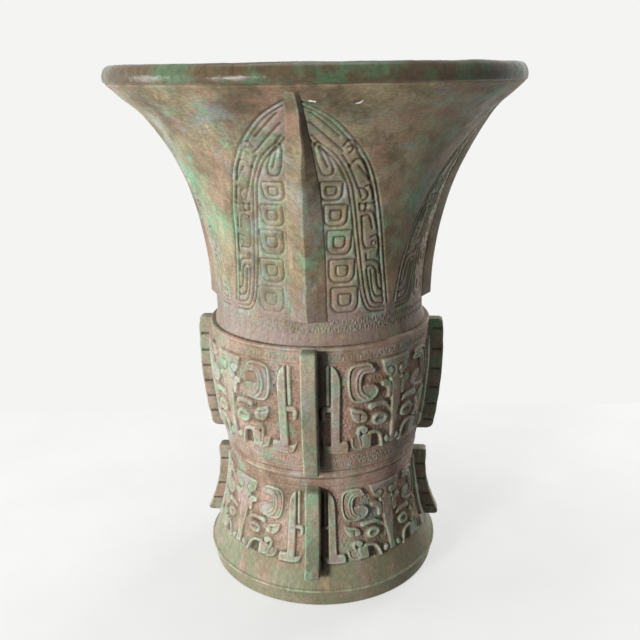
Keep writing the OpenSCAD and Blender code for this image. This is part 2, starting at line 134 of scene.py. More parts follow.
def belly_r(z, out=0.0):
    """Radius of the belly's wall at a level, moved out by a distance."""
    return BELLY_R - BELLY_ARC + np.sqrt((BELLY_ARC + out) ** 2 - (np.asarray(z, float) - APEX_Z) ** 2)


def foot_r(z, out=0.0):
    """Radius of the foot's wall above its edge band, moved out by a distance."""
    return WAIST_R + FOOT_ARC - np.sqrt((FOOT_ARC - out) ** 2 - (np.asarray(z, float) - WAIST_Z) ** 2)


def along(radius, low, high, out=0.0):
    """Points of a wall's outline from one level to another."""
    levels = np.linspace(low, high, 200)
    return list(zip(radius(levels, out), levels))


def gone_along(path):
    """How far along a line each of its points lies."""
    return np.concatenate([[0], np.cumsum(np.hypot(*np.diff(path, axis=0).T))])


def headings(path):
    """The way ahead at each point of a line, one unit long."""
    ahead = np.gradient(path, axis=0)
    return ahead / np.hypot(*ahead.T)[:, None]


def resample(points, step):
    """The same outline with even steps along it."""
    points = np.array(points, float)
    gone = gone_along(points)
    there = np.linspace(0, gone[-1], max(2, round(gone[-1] / step) + 1))
    return np.stack([np.interp(there, gone, points[:, k]) for k in (0, 1)], axis=1)


def worn(path, passes=2):
    """An outline with its sharp corners worn round, its ends kept."""
    path = path.copy()
    for _ in range(passes):
        path[1:-1] = (path[:-2] + 2 * path[1:-1] + path[2:]) / 4
    return path


# Drawing on the walls: lines and shapes as lists of (degrees from a flange line, level)
FAR = 1e9
SHOULDER = 0.6
GROOVE_SIDE = 0.9
DENT_SIDE = 1.6
CLEAR_FADE = 0.8
BAND_TURNS = 1.4
BAND_FADE = 0.8
BAND_GREEN = 0.3
CORNER_STEPS = (0.0, 0.25, 0.5, 0.75, 1.0)


def rounded(points, reach, closed=False):
    """A line with its corners rounded, each over at most a distance."""
    points = np.array(points, float)
    line = []
    for k, corner in enumerate(points):
        if not closed and k in (0, len(points) - 1):
            line.append(corner)
            continue
        ends = []
        for other in (points[k - 1], points[(k + 1) % len(points)]):
            side = np.hypot(*(other - corner))
            ends.append(corner + (other - corner) * min(reach / side, 0.5))
        line += [(1 - t) ** 2 * ends[0] + 2 * t * (1 - t) * corner + t**2 * ends[1] for t in CORNER_STEPS]
    return np.array(line + line[:1] if closed else line)


def gap_to(x, y, line):
    """Distance of each point of a grid from a line."""
    best = np.full(x.shape, FAR)
    for (ax, ay), (bx, by) in zip(line[:-1], line[1:]):
        dx, dy = bx - ax, by - ay
        t = np.clip(((x - ax) * dx + (y - ay) * dy) / max(dx * dx + dy * dy, 1e-12), 0, 1)
        best = np.minimum(best, np.hypot(x - ax - t * dx, y - ay - t * dy))
    return best


def beside(line, shift):
    """A line moved to its left by a distance."""
    ahead = headings(line)
    return line + shift * np.stack([-ahead[:, 1], ahead[:, 0]], axis=1)


def inside(x, y, ring):
    """Which points of a grid lie in a closed ring."""
    odd = np.zeros(x.shape, bool)
    for (ax, ay), (bx, by) in zip(ring[:-1], ring[1:]):
        if ay != by:
            odd ^= ((ay > y) != (by > y)) & (x < (bx - ax) * (y - ay) / (by - ay) + ax)
    return odd


def soft(value):
    """A smooth step from 0 to 1."""
    value = np.clip(value, 0, 1)
    return value * value * (3 - 2 * value)


def between(value, low, high, fade):
    """1 between two limits, and softly 0 past them."""
    return soft((value - low) / fade) * soft((high - value) / fade)


def spirals(x, y, cell_x, cell_y, turns):
    """Squared spirals in rows and columns, as a wave from -1 to 1."""
    column, row = np.floor(x / cell_x), np.floor(y / cell_y)
    u, v = x / cell_x - column - 0.5, y / cell_y - row - 0.5
    hand = 1 - 2 * ((column + row) % 2)
    spread = (u**8 + v**8) ** 0.125
    return np.cos(2 * np.pi * (2 * turns * spread - np.arctan2(v, u * hand) / (2 * np.pi)))


class Drawing:
    """Heights over half the wall between two flange lines, from one line to the middle."""

    def __init__(self, path):
        self.r, self.z = path[:, 0], path[:, 1]
        self.up = gone_along(path)
        self.degrees = np.linspace(0, MIDDLE, HALF + 1)
        self.x = np.radians(self.degrees)[None, :] * self.r[:, None]
        self.y = np.repeat(self.up[:, None], HALF + 1, axis=1)
        self.level = np.repeat(self.z[:, None], HALF + 1, axis=1)
        self.height = np.zeros(self.x.shape)
        self.green = np.zeros(self.x.shape)
        self.edge = np.full(self.x.shape, FAR)

    def place(self, points):
        """Points in degrees and levels, as points on the wall in millimetres."""
        points = np.array(points, float)
        r = np.interp(points[:, 1], self.z, self.r)
        return np.stack([np.radians(points[:, 0]) * r, np.interp(points[:, 1], self.z, self.up)], axis=1)

    def ring_gap(self, points, reach):
        """Distance from a closed shape's outline, below zero inside it."""
        ring = rounded(self.place(points), reach, closed=True)
        gap = gap_to(self.x, self.y, ring)
        return np.where(inside(self.x, self.y, ring), -gap, gap)

    def put(self, height, green, gap):
        """Adds relief wherever it is higher than what is there."""
        self.height = np.maximum(self.height, height)
        self.green = np.maximum(self.green, green)
        self.edge = np.minimum(self.edge, gap)

    def rise(self, gap, height, shoulder=SHOULDER, green=1.0):
        """Raises what lies inside a gap of zero, and marks its top as green."""
        share = soft(0.5 - gap / shoulder)
        self.put(height * share, green * share, gap)

    def ridge(self, points, width, height, reach=6.0, **how):
        self.rise(gap_to(self.x, self.y, rounded(self.place(points), reach)) - width / 2, height, **how)

    def plate(self, points, height, reach=1.2, **how):
        self.rise(self.ring_gap(points, reach), height, **how)

    def oval(self, centre, size):
        """Distance from an oval's outline, below zero inside it, about right near the outline."""
        x, y = self.place([centre])[0]
        return (np.hypot((self.x - x) / size[0], (self.y - y) / size[1]) - 1) * min(size)

    def boss(self, centre, size, height):
        """A domed knob."""
        gap = self.oval(centre, size)
        dome = np.sqrt(np.clip(1 - (gap / min(size) + 1) ** 2, 0, 1))
        self.put(height * dome, soft(2 * dome), gap)

    def dent(self, points, depth, reach=1.5):
        """Lowers the ground in a shape, and leaves the relief beside it."""
        there = soft(0.5 - self.ring_gap(points, reach) / DENT_SIDE)
        self.height -= depth * there * soft(self.edge / CLEAR_FADE)

    def groove(self, points, width, depth, closed=False, shift=0.0, reach=2.0):
        """Cuts a rounded line, about as wide as given to each side."""
        line = rounded(self.place(points), reach, closed)
        self.height -= depth * np.exp(-((gap_to(self.x, self.y, beside(line, shift)) / width) ** 2))

    def ring_line(self, level, width, depth):
        """Cuts a line all round, or raises one where the depth is below zero."""
        self.height -= depth * soft(0.5 - (np.abs(self.level - level) - width / 2) / GROOVE_SIDE)

    def band(self, low, high, cell, rows, depth, start=0.0):
        """A band of squared spirals between two levels, from some degrees off the flange line."""
        from_line = np.radians(self.degrees - start)[None, :] * self.r[:, None]
        wave = spirals(from_line, self.level - low, cell, (high - low) / rows, BAND_TURNS)
        there = between(self.level, low, high, BAND_FADE) * soft(from_line / BAND_FADE)
        self.height -= depth * there * soft(0.5 + wave)
        self.green = np.maximum(self.green, BAND_GREEN * there)

    def whole(self, half):
        """A half's values carried round the whole wall."""
        quarter = np.concatenate([half, half[:, -2:0:-1]], axis=1)
        return np.roll(np.tile(quarter, (1, 4)), ORNAMENT_SHIFT, axis=1)


def evened(values, row_mm, column_mm, size):
    """A grid's values evened out over a distance, as if it went on all round."""
    rows = np.fft.fftfreq(values.shape[0], row_mm)[:, None]
    columns = np.fft.fftfreq(values.shape[1], column_mm)[None, :]
    keep = np.exp(-2 * (np.pi * size) ** 2 * (rows**2 + columns**2))
    return np.real(np.fft.ifft2(np.fft.fft2(values) * keep))


def cloud(shape, row_mm, column_mm, size, seed):
    """Smooth noise over a wall, with lumps of about a size."""
    white = np.random.default_rng(seed).standard_normal(shape)
    lumps = evened(white, row_mm, column_mm, size / 2.5)
    return lumps / lumps.std()


def blurred(heights, row_mm, column_mm, size):
    """Heights of a wall evened out. The wall goes round, and its ends are held."""
    pad = int(4 * size / row_mm) + 1
    tall = np.pad(heights, ((pad, pad), (0, 0)), mode="edge")
    return evened(tall, row_mm, column_mm, size)[pad:-pad]


# The animal mask, for half of it, as (degrees from the flange line, share of the mask's height).
# Flat shapes: height and outline
MASK_PLATES = {
    "bar": (2.0, [
        (10.8, 0), (10.8, 1), (12, 0.985), (13.6, 0.945), (14.7, 0.88), (15.1, 0.79), (15.1, 0.135),
        (18.9, 0.14), (19.6, 0.1), (19.6, 0)
    ]),
    "wedge": (1.7, [(11, 0), (8.3, 0.02), (6.8, 0.085), (6.2, 0.155), (7.6, 0.105), (11, 0.095)]),
    "hook": (1.8, [
        (11, 0.555), (7, 0.555), (5.7, 0.53), (5.4, 0.48), (5.9, 0.41), (7.6, 0.4), (7.9, 0.5), (11, 0.5)
    ]),
    "lobe": (1.2, [
        (25.5, 0.765), (29, 0.755), (32.5, 0.745), (33.8, 0.71), (33.2, 0.65), (30, 0.61), (26, 0.63)
    ]),
    "ear": (1.9, [
        (19.8, 0.525), (21.4, 0.525), (23.4, 0.505), (26, 0.49), (28, 0.455), (28.9, 0.415), (28.5, 0.36),
        (27.3, 0.345), (23.6, 0.34), (21.4, 0.385), (20.2, 0.45)
    ]),
    "brow": (1.9, [
        (29, 0.52), (30, 0.548), (38, 0.552), (39.8, 0.525), (40.6, 0.475), (39.4, 0.475), (36.8, 0.497),
        (32.4, 0.495), (30.8, 0.47), (29.2, 0.49)
    ]),
    "cheek": (1.7, [
        (26.2, 0.19), (28, 0.205), (31.6, 0.205), (31.9, 0.13), (32, 0.02), (26.8, 0.02), (26.2, 0.1)
    ]),
    "shield": (1.5, [
        (49, 1), (36.2, 1), (36.6, 0.96), (37.2, 0.9), (38.4, 0.845), (40.4, 0.81), (42.4, 0.79),
        (43.4, 0.76), (49, 0.74)
    ]),
    "wing": (1.8, [
        (36.2, 0.765), (39.4, 0.775), (41.8, 0.735), (42.4, 0.66), (41.8, 0.57), (39.8, 0.57), (39.8, 0.675),
        (38.4, 0.7), (36.4, 0.71)
    ]),
}
MASK_NOSE = [
    (49, 0.8), (42.3, 0.8), (42.2, 0.62), (42.6, 0.45), (43.3, 0.3), (43.9, 0.2), (43.6, 0.1), (43.4, 0.02),
    (49, 0.02)
]
MASK_NOSE_H = 1.8
MASK_NOSE_SIDE = 1.0
# Ridges: width, height and middle line
MASK_RIDGES = {
    "strip": (2.6, 1.6, [(9, 0.585), (9, 0.985)]),
    "horn_rim": (1.9, 1.9, [
        (31, 0.93), (30.4, 0.98), (27, 0.988), (22.5, 0.983), (20, 0.96), (19.2, 0.9), (19, 0.8),
        (19.3, 0.72), (20.2, 0.645), (21.6, 0.6), (24.4, 0.584), (28, 0.588), (31, 0.6)
    ]),
    "inner_horn": (4.6, 2.0, [
        (31, 0.915), (27.5, 0.925), (24.8, 0.9), (23.8, 0.84), (23.6, 0.77), (24.1, 0.7), (25.4, 0.65),
        (27.6, 0.622)
    ]),
    "lobe_rim": (1.9, 2.0, [
        (26, 0.63), (28.6, 0.607), (31.6, 0.612), (33.6, 0.65), (33.9, 0.7), (32.4, 0.745), (28.6, 0.752)
    ]),
    "curl": (2.7, 1.9, [
        (27.4, 0.225), (28.9, 0.243), (28.4, 0.274), (26.6, 0.287), (24.8, 0.277), (24.1, 0.24), (25, 0.185),
        (26.2, 0.12), (26.8, 0.05)
    ]),
    "jaw": (2.5, 1.9, [(30.5, 0.21), (34, 0.205), (36.2, 0.188), (37.6, 0.14), (38.4, 0.08), (39, 0.01)]),
    "toe": (1.6, 1.6, [(21.4, 0.15), (21.7, 0.08), (23.2, 0.033), (26.8, 0.02)]),
    "socket": (1.1, 0.6, [(41.2, 0.47), (42.4, 0.42), (42.8, 0.34), (42.6, 0.25)]),
}
# Low ground of the outer horn and of the claw: width, height and middle line
MASK_LOW = [
    (3.8, 1, [
        (29, 0.95), (24.5, 0.95), (22, 0.92), (21.2, 0.85), (21.1, 0.76), (21.8, 0.68), (23.4, 0.625),
        (26.5, 0.6)
    ]),
    (4.4, 0.8, [(23.6, 0.12), (24.2, 0.07), (26.4, 0.05)]),
]
# Knobs: half width, half height, height and middle
MASK_KNOBS = [
    (2.3, 2.3, 2.3, (42, 0.765)), (3, 3.2, 2, (42, 0.865)), (3.1, 3.5, 2.2, (41.7, 0.075)),
    (2.4, 2.2, 2, (26.6, 0.252)),
]
MASK_EYE = (6.8, 5.3, 2.4, (36.1, 0.352))
# The eye's soft side, and the rim, depth and side of the dish in it. Its slit: half length, width and depth
EYE_SIDE = 1.6
EYE_DISH = (1.5, 0.7, 1.2)
EYE_SLIT = (1.7, 0.8, 0.9)
MASK_MOUTH = [(32.4, 0.01), (32.6, 0.13), (34, 0.165), (35.6, 0.155), (36.8, 0.11), (37.8, 0.01)]
# Lines cut into the relief
MASK_LINES = [
    [(21.4, 0.475), (23, 0.455), (25.4, 0.44), (28.2, 0.43)], [(25.3, 0.44), (25.2, 0.37)],
    [(39.6, 0.9), (42.2, 0.92), (44, 0.88), (43.8, 0.83), (42.4, 0.805)],
    [(26.8, 0.07), (26.2, 0.13), (25.2, 0.19)],
]
MASK_LINE = (0.7, 0.9)
HORN_LINE = (0.65, 0.9)
MOUTH_D = 1.1
LOW_GREEN = 0.15
NOSE_GREEN = 0.6
NOSE_CORNER = 2.0
MASK_DRAWN_H = 70.0
# Where the foot's mask differs from the belly's: degrees there, and shares of the height
SAME_DEGREES = ([0, MIDDLE], [0, MIDDLE])
SAME_SHARES = ([0, 1], [0, 1])
FOOT_DEGREES = ([0, 10, 22, 38, 45], [0, 7.9, 19.8, 36, 45])
FOOT_SHARES = ([0, 0.15, 0.29, 0.345, 0.53, 0.6, 1], [0, 0.13, 0.25, 0.325, 0.485, 0.565, 1])


def draw_mask(on, low, high, degrees=SAME_DEGREES, shares=SAME_SHARES):
    """Presses the animal mask into a drawing between two levels."""
    size = (high - low) / MASK_DRAWN_H

    def at(points):
        """Points of the tables as degrees and levels."""
        return [
            (np.interp(d, *degrees) + max(d - MIDDLE, 0), low + (high - low) * np.interp(share, *shares))
            for d, share in points
        ]

    for width, height, points in MASK_LOW:
        on.ridge(at(points), width * size, height, green=LOW_GREEN)
    on.rise(on.ring_gap(at(MASK_NOSE), NOSE_CORNER), MASK_NOSE_H, MASK_NOSE_SIDE, green=NOSE_GREEN)
    for height, points in MASK_PLATES.values():
        on.plate(at(points), height)
    for width, height, points in MASK_RIDGES.values():
        on.ridge(at(points), width * size, height)
    for wide, tall, height, middle in MASK_KNOBS:
        on.boss(at([middle])[0], (wide * size, tall * size), height)
    wide, tall, height, middle = MASK_EYE
    eye = np.array(at([middle])[0])
    gap = on.oval(eye, (wide * size, tall * size))
    on.rise(gap, height, EYE_SIDE)
    rim, depth, side = EYE_DISH
    on.height -= depth * soft(-(gap + rim * size) / side)
    reach, *slit = EYE_SLIT
    on.groove([eye - (reach, 0), eye + (reach, 0)], *slit)
    on.groove(at(MASK_RIDGES["inner_horn"][2]), *HORN_LINE, reach=6.0)
    for line in MASK_LINES:
        on.groove(at(line), *MASK_LINE)
    on.dent(at(MASK_MOUTH), MOUTH_D)


# Spirals on the ground: cell, turns, depth, gap beside the relief, and fade at the field's ends
GROUND_CELL = 5.0
GROUND_TURNS = 1.3
GROUND_D = 0.45
GROUND_GAP = 1.2
GROUND_FADE = 1.5


def draw_ground(on, low, high, off_line):
    """Fine spirals on the low ground between two levels."""
    there = between(on.level, low, high, GROUND_FADE) * soft((on.degrees - off_line) / 0.8)
    clear = there * soft((on.edge - GROUND_GAP) / CLEAR_FADE)
    wave = spirals(on.x, on.level - low, GROUND_CELL, GROUND_CELL, GROUND_TURNS)
    on.height -= GROUND_D * clear * soft(0.5 + wave)


# The leaf blade round a ridge, for half of it, as (degrees from the ridge, level)
LEAF_EDGE = [
    (2.5, 368.5), (6, 364.6), (10.4, 359), (14.2, 352), (18, 344.6), (21.8, 336), (24.8, 328.4),
    (27.8, 318.4), (30.8, 306), (32.7, 297), (34.6, 287), (36.4, 276), (38.3, 263.4), (40.2, 251),
    (41.4, 241), (42.5, 231)
]
LEAF_SPINE = [
    (4.4, 349), (7.5, 342.7), (11.2, 338), (14.2, 331.5), (16.9, 323.4), (19, 316), (20.5, 306), (21.8, 297),
    (22.9, 288.4), (24.3, 277), (25.9, 264.6), (27.5, 251), (29.1, 239.6), (31.2, 231), (33.8, 228.4),
    (41, 228)
]
LEAF_LOOP = [(5, 341), (6, 331), (7.5, 324), (9.3, 322.5), (11.5, 324), (11.5, 328), (9.3, 336), (6, 345)]
LEAF_SLOT = [(6.6, 341), (9.4, 328.5)]
LEAF_CELLS = [
    (11.7, 25.4, 227.5, 245.5), (10.8, 23.1, 249, 265.5), (9.7, 20.8, 269, 286), (8.4, 18.2, 289, 303.5),
    (6.7, 15.4, 306.5, 319)
]
LEAF_FRET = [
    [(4.4, 362), (12.6, 348)], [(4, 356.5), (14.2, 338.6)],
    [(14.2, 341.5), (15.3, 345), (17.2, 345), (19, 339.4)],
    [(14.2, 336), (16, 331.5), (17.2, 328.4)],
    [(17.9, 331), (19, 333.4), (21.3, 333), (22.8, 329), (25.4, 320)],
    [(16.9, 329), (22.4, 311), (23.2, 308)], [(20.2, 329), (25.1, 319.6)],
    [(24.3, 315), (25.4, 316), (27, 314), (28.5, 306.5)], [(22.8, 303.4), (29.6, 303.4)],
    [(22.4, 314), (24.6, 313), (26, 309.5), (25.6, 306.8), (24, 306)], [(25.8, 303.4), (25.8, 298.4)],
    [(15.6, 341), (17, 341.6), (17.6, 339), (16.4, 337.4)],
    [(22.8, 303.4), (23.2, 298.4), (28.1, 298.4), (29.7, 297), (32.4, 286)],
    [(24.7, 294.6), (27.3, 296), (28.8, 292), (30, 286)],
    [(24.4, 294.6), (26.2, 277), (27.7, 272), (33, 272)],
    [(30, 280), (33, 281.5), (34.6, 276), (35.2, 271), (34.5, 266)],
    [(28.5, 267.8), (28.8, 263.4), (33, 263.4), (35.8, 261), (37, 253.4)],
    [(29.6, 259), (32.2, 259.6), (34.5, 256), (35.6, 247), (36.7, 242), (39, 241)],
    [(29.2, 257), (30.7, 247), (32.6, 236), (34.5, 232), (39.4, 230.6)],
    [(31.4, 256), (32.6, 247), (33.6, 240), (35.4, 236.4), (39.6, 235.8)]
]
LEAF_SCROLL = (1.7, (31.9, 275.4))
LEAF_GROOVE_W = 0.85
LEAF_GROOVE_D = 1.1
LEAF_BORDER = 3.2
LEAF_RIB = 2.9
LEAF_BEND = 8.0
LEAF_TIP = (0, 372)
LEAF_GREEN = 0.4
LEAF_FADE = 1.5
CELL_INSET = 0.27
CELL_BARE = 0.8
# Shares of a cell's width and height that its lower corners take
CELL_CORNER = (0.18, 0.22)


def cell_ring(near, far, low, high, inset):
    """A cell's outline: flat on top and round below."""
    across = inset * (far - near)
    up = inset * (high - low)
    near, far, low, high = near + across, far - across, low + up, high - up
    side, drop = CELL_CORNER[0] * (far - near), CELL_CORNER[1] * (high - low)
    return [
        (near, high), (near, low + drop), (near + side, low),
        (far - side, low), (far, low + drop), (far, high)
    ]


def draw_leaf(on):
    """Cuts the leaf blade into a drawing."""
    def cut(line, **how):
        on.groove(line, LEAF_GROOVE_W, LEAF_GROOVE_D, **how)

    blade = on.ring_gap([LEAF_TIP] + LEAF_EDGE + [(0, LEAF_EDGE[-1][1])], 6.0)
    on.green = LEAF_GREEN * soft(-blade / LEAF_FADE)
    for line, shift in ((LEAF_EDGE, -LEAF_BORDER / 2), (LEAF_SPINE, -1.9 * LEAF_RIB)):
        gap = gap_to(on.x, on.y, beside(rounded(on.place(line), LEAF_BEND), shift))
        on.green = np.maximum(on.green, soft(1.6 - gap / 1.6))
    for line, width in ((LEAF_EDGE, LEAF_BORDER), (LEAF_SPINE, LEAF_RIB)):
        cut(line, reach=LEAF_BEND)
        cut(line, shift=-width, reach=LEAF_BEND)
    cut(LEAF_LOOP, closed=True)
    cut(LEAF_SLOT)
    for line in LEAF_FRET:
        cut(line)
    size, middle = LEAF_SCROLL
    on.height -= 0.8 * LEAF_GROOVE_D * np.exp(-((on.oval(middle, (size, size)) / LEAF_GROOVE_W) ** 2))
    for cell in LEAF_CELLS:
        on.green *= 1 - CELL_BARE * soft(-on.ring_gap(cell_ring(*cell, 0.0), 2.0) / LEAF_FADE)
        cut(cell_ring(*cell, 0.0), closed=True)
        cut(cell_ring(*cell, CELL_INSET), closed=True, reach=1.5)


# Meshes
def placed(name, data):
    """A new object in the scene."""
    thing = bpy.data.objects.new(name, data)
    scene.collection.objects.link(thing)
    return thing


def new_piece(name, mesh, material):
    """Puts a mesh in the scene as a piece of the vessel."""
    piece = placed(name, mesh)
    mesh.materials.append(material)
    mesh.polygons.foreach_set("use_smooth", np.ones(len(mesh.polygons), bool))
    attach(piece, "root")
    return piece


FLOW_R = 0.09


def make_mesh(name, points, faces, values, corners=None):
    """A mesh from points in mm, with values by name. Its "flow" goes round at one radius, and up."""
    spots = np.asarray(points) * MM
    mesh = bpy.data.meshes.new(name)
    mesh.vertices.add(len(spots))
    mesh.vertices.foreach_set("co", spots.ravel())
    sizes = np.concatenate([np.full(len(f), f.shape[1]) for f in faces])
    mesh.loops.add(int(sizes.sum()))
    mesh.loops.foreach_set("vertex_index", np.concatenate([f.ravel() for f in faces]))
    mesh.polygons.add(len(sizes))
    mesh.polygons.foreach_set("loop_start", np.concatenate([[0], np.cumsum(sizes)[:-1]]))
    x, y, z = spots.T
    r = np.maximum(np.hypot(x, y), MM)
    flow = np.stack([x / r * FLOW_R, y / r * FLOW_R, z + r], axis=1)
    mesh.attributes.new("flow", "FLOAT_VECTOR", "POINT").data.foreach_set("vector", flow.ravel())
    for key, value in values.items():
        mesh.attributes.new(key, "FLOAT", "POINT").data.foreach_set("value", np.asarray(value, float).ravel())
    if corners is not None:
        layer = mesh.uv_layers.new(name="OFBake")
        layer.data.foreach_set("uv", np.concatenate([c.reshape(-1, 2) for c in corners]).ravel())
    mesh.update(calc_edges=True)
    mesh.validate()
    return mesh


def grid_faces(first, rows, columns, low=0.0, high=1.0):
    """Four-sided faces between rows of points that go round, and their corners in the bake square."""
    i, j = np.meshgrid(np.arange(rows - 1), np.arange(columns), indexing="ij")
    i = np.stack([i, i, i + 1, i + 1], -1).reshape(-1, 4)
    j = np.stack([j, j + 1, j + 1, j], -1).reshape(-1, 4)
    corners = np.stack([j / columns, low + (high - low) * i / (rows - 1)], -1)
    return first + i * columns + j % columns, corners


def stitch(fine_first, coarse_first, fine_ahead, low, high):
    """Faces that join a fine row of points to a coarse one, and their corners."""
    coarse = COLUMNS // INNER_STEP
    k = np.arange(coarse)[:, None]
    fine = INNER_STEP * k + np.arange(INNER_STEP + 1)
    near, far = coarse_first + k, coarse_first + (k + 1) % coarse
    faces = np.concatenate([fine_first + fine % COLUMNS, far, near], axis=1)
    across = np.concatenate([fine / COLUMNS, (k + 1) / coarse, k / coarse], axis=1)
    fine_up, coarse_up = (high, low) if fine_ahead else (low, high)
    up = np.full(faces.shape, coarse_up)
    up[:, :INNER_STEP + 1] = fine_up
    corners = np.stack([across, up], -1)
    return (faces[:, ::-1], corners[:, ::-1]) if fine_ahead else (faces, corners)


def turned(path, columns, offsets=0.0):
    """Points of an outline turned round the axis, each moved out by an offset."""
    ahead = headings(path)
    r = path[:, :1] + ahead[:, 1:] * offsets
    z = path[:, 1:] - ahead[:, :1] * offsets
    angle = np.radians(LINES["front"]) + 2 * np.pi * np.arange(columns) / columns
    r, z = np.broadcast_to(r, (len(path), columns)), np.broadcast_to(z, (len(path), columns))
    return np.stack([r * np.cos(angle), r * np.sin(angle), z], -1).reshape(-1, 3)


WEAR = 0.17
LUMPS = ((0.16, 16.0, 3), (0.035, 2.6, 4))
HOLLOW_REACH = 1.5
# Ground deeper than this counts as hollow besides, by a share
DEEP_FROM = 0.3
DEEP_SHARE = 0.4
RESTS = 4.0
# Heights in the bake square of a wall's outside, upper join, inside and lower join
BAKE_SPANS = ((0.01, 0.80), (0.82, 0.83), (0.83, 0.97), (0.97, 0.98))


def wall_piece(name, outer, inner, row, heights, marks, material):
    """A closed wall: a drawn outside with marks by name, and a plain inside."""
    column_mm = 2 * np.pi * outer[:, 0].mean() / COLUMNS
    heights = blurred(heights, row, column_mm, WEAR)
    for depth, size, seed in LUMPS:
        heights = heights + depth * cloud(heights.shape, row, column_mm, size, seed)
    heights = heights * soft(outer[:, 1:] / RESTS)
    hollow = heights - blurred(heights, row, column_mm, HOLLOW_REACH)
    hollow += DEEP_SHARE * np.minimum(heights + DEEP_FROM, 0)
    coarse = COLUMNS // INNER_STEP
    points = np.concatenate([turned(outer, COLUMNS, heights), turned(inner, coarse)])
    fine_count = len(outer) * COLUMNS
    inner_last = fine_count + (len(inner) - 1) * coarse
    outside, upper, within, lower = BAKE_SPANS
    faces, corners = zip(
        grid_faces(0, len(outer), COLUMNS, *outside),
        stitch(fine_count - COLUMNS, fine_count, False, *upper),
        grid_faces(fine_count, len(inner), coarse, *within),
        stitch(0, inner_last, True, *lower),
    )
    plain = np.zeros(len(inner) * coarse)
    values = {key: np.concatenate([mark.ravel(), plain]) for key, mark in marks.items()}
    values["hollows_edges_and_shade"] = np.concatenate([hollow.ravel(), plain])
    values["inside"] = np.concatenate([np.zeros(fine_count), plain + 1])
    return new_piece(name, make_mesh(name, points, faces, values, corners), material)


def loft(name, sections, values, material):
    """A closed piece through a stack of sections, capped at both ends."""
    rows, columns = sections.shape[:2]
    ring = np.arange(columns)[None, :]
    faces = [grid_faces(0, rows, columns)[0], ring[:, ::-1], (rows - 1) * columns + ring]
    mesh = make_mesh(name, sections.reshape(-1, 3), faces, values)
    return new_piece(name, mesh, material)


def stood_up(radial, across, level, azimuth):
    """Points given along a flange line, across it and up, in the vessel's frame."""
    c, s = math.cos(math.radians(azimuth)), math.sin(math.radians(azimuth))
    return np.stack([radial * c - across * s, radial * s + across * c, level + 0 * radial], -1)


def waver(share, draws, pace, turn=1):
    """A slow unevenness along a piece: a few waves with drawn strengths."""
    return sum(w * math.sin(k * pace * share + turn * w) for k, w in enumerate(draws, 1))


# Notched plate flanges
FLANGE_T = float(np.subtract(*box_mm("belly_flange_front")[::-1])[0])
FLANGE_OUT = 12.4
FLANGE_WORN = 0.8
FLANGE_ROOT = 2.5
FLANGE_EDGE = 1.5
FLANGE_CORNER = 5.0
FLANGE_TOP_CORNER = 1.6
FLANGE_ROW = 0.7
NOTCH_W = 1.1
NOTCH_D = 1.0
NOTCH_L = 9.5
EDGE_LIGHT = 0.3
EDGE_WAVER = 0.06
SIDE_WAVER = 0.1 / 3
SIDE_POINTS = 16
EDGE_POINTS = 6
FACE_POINTS = 9


def flange_section(out, half):
    """A plate's section from root to root, and how much each point is on an edge."""
    edge = FLANGE_EDGE
    base, flat = out - edge, half - edge
    side = np.linspace(-FLANGE_ROOT, base, SIDE_POINTS)
    turn = np.linspace(0, np.pi / 2, EDGE_POINTS + 2)[1:-1]
    face = np.linspace(-flat, flat, FACE_POINTS)
    radial = np.concatenate([
        side, base + edge * np.sin(turn), np.full(FACE_POINTS, out), base + edge * np.cos(turn), side[::-1]
    ])
    across = np.concatenate([
        np.full(SIDE_POINTS, -half), -flat - edge * np.cos(turn), face, flat + edge * np.sin(turn),
        np.full(SIDE_POINTS, half)
    ])
    counts = [SIDE_POINTS, EDGE_POINTS, FACE_POINTS, EDGE_POINTS, SIDE_POINTS]
    on_edge = np.repeat([0, 1, 0, 1, 0], counts)
    return radial, across, on_edge


def belly_tuck(share):
    """How far a belly flange's edge draws in towards its top."""
    return 1.6 * share**2


def foot_tuck(share):
    """How far a foot flange's edge draws in between its ends, and a little at its top."""
    return 1.2 * share + 2.4 * math.sin(math.pi * share)


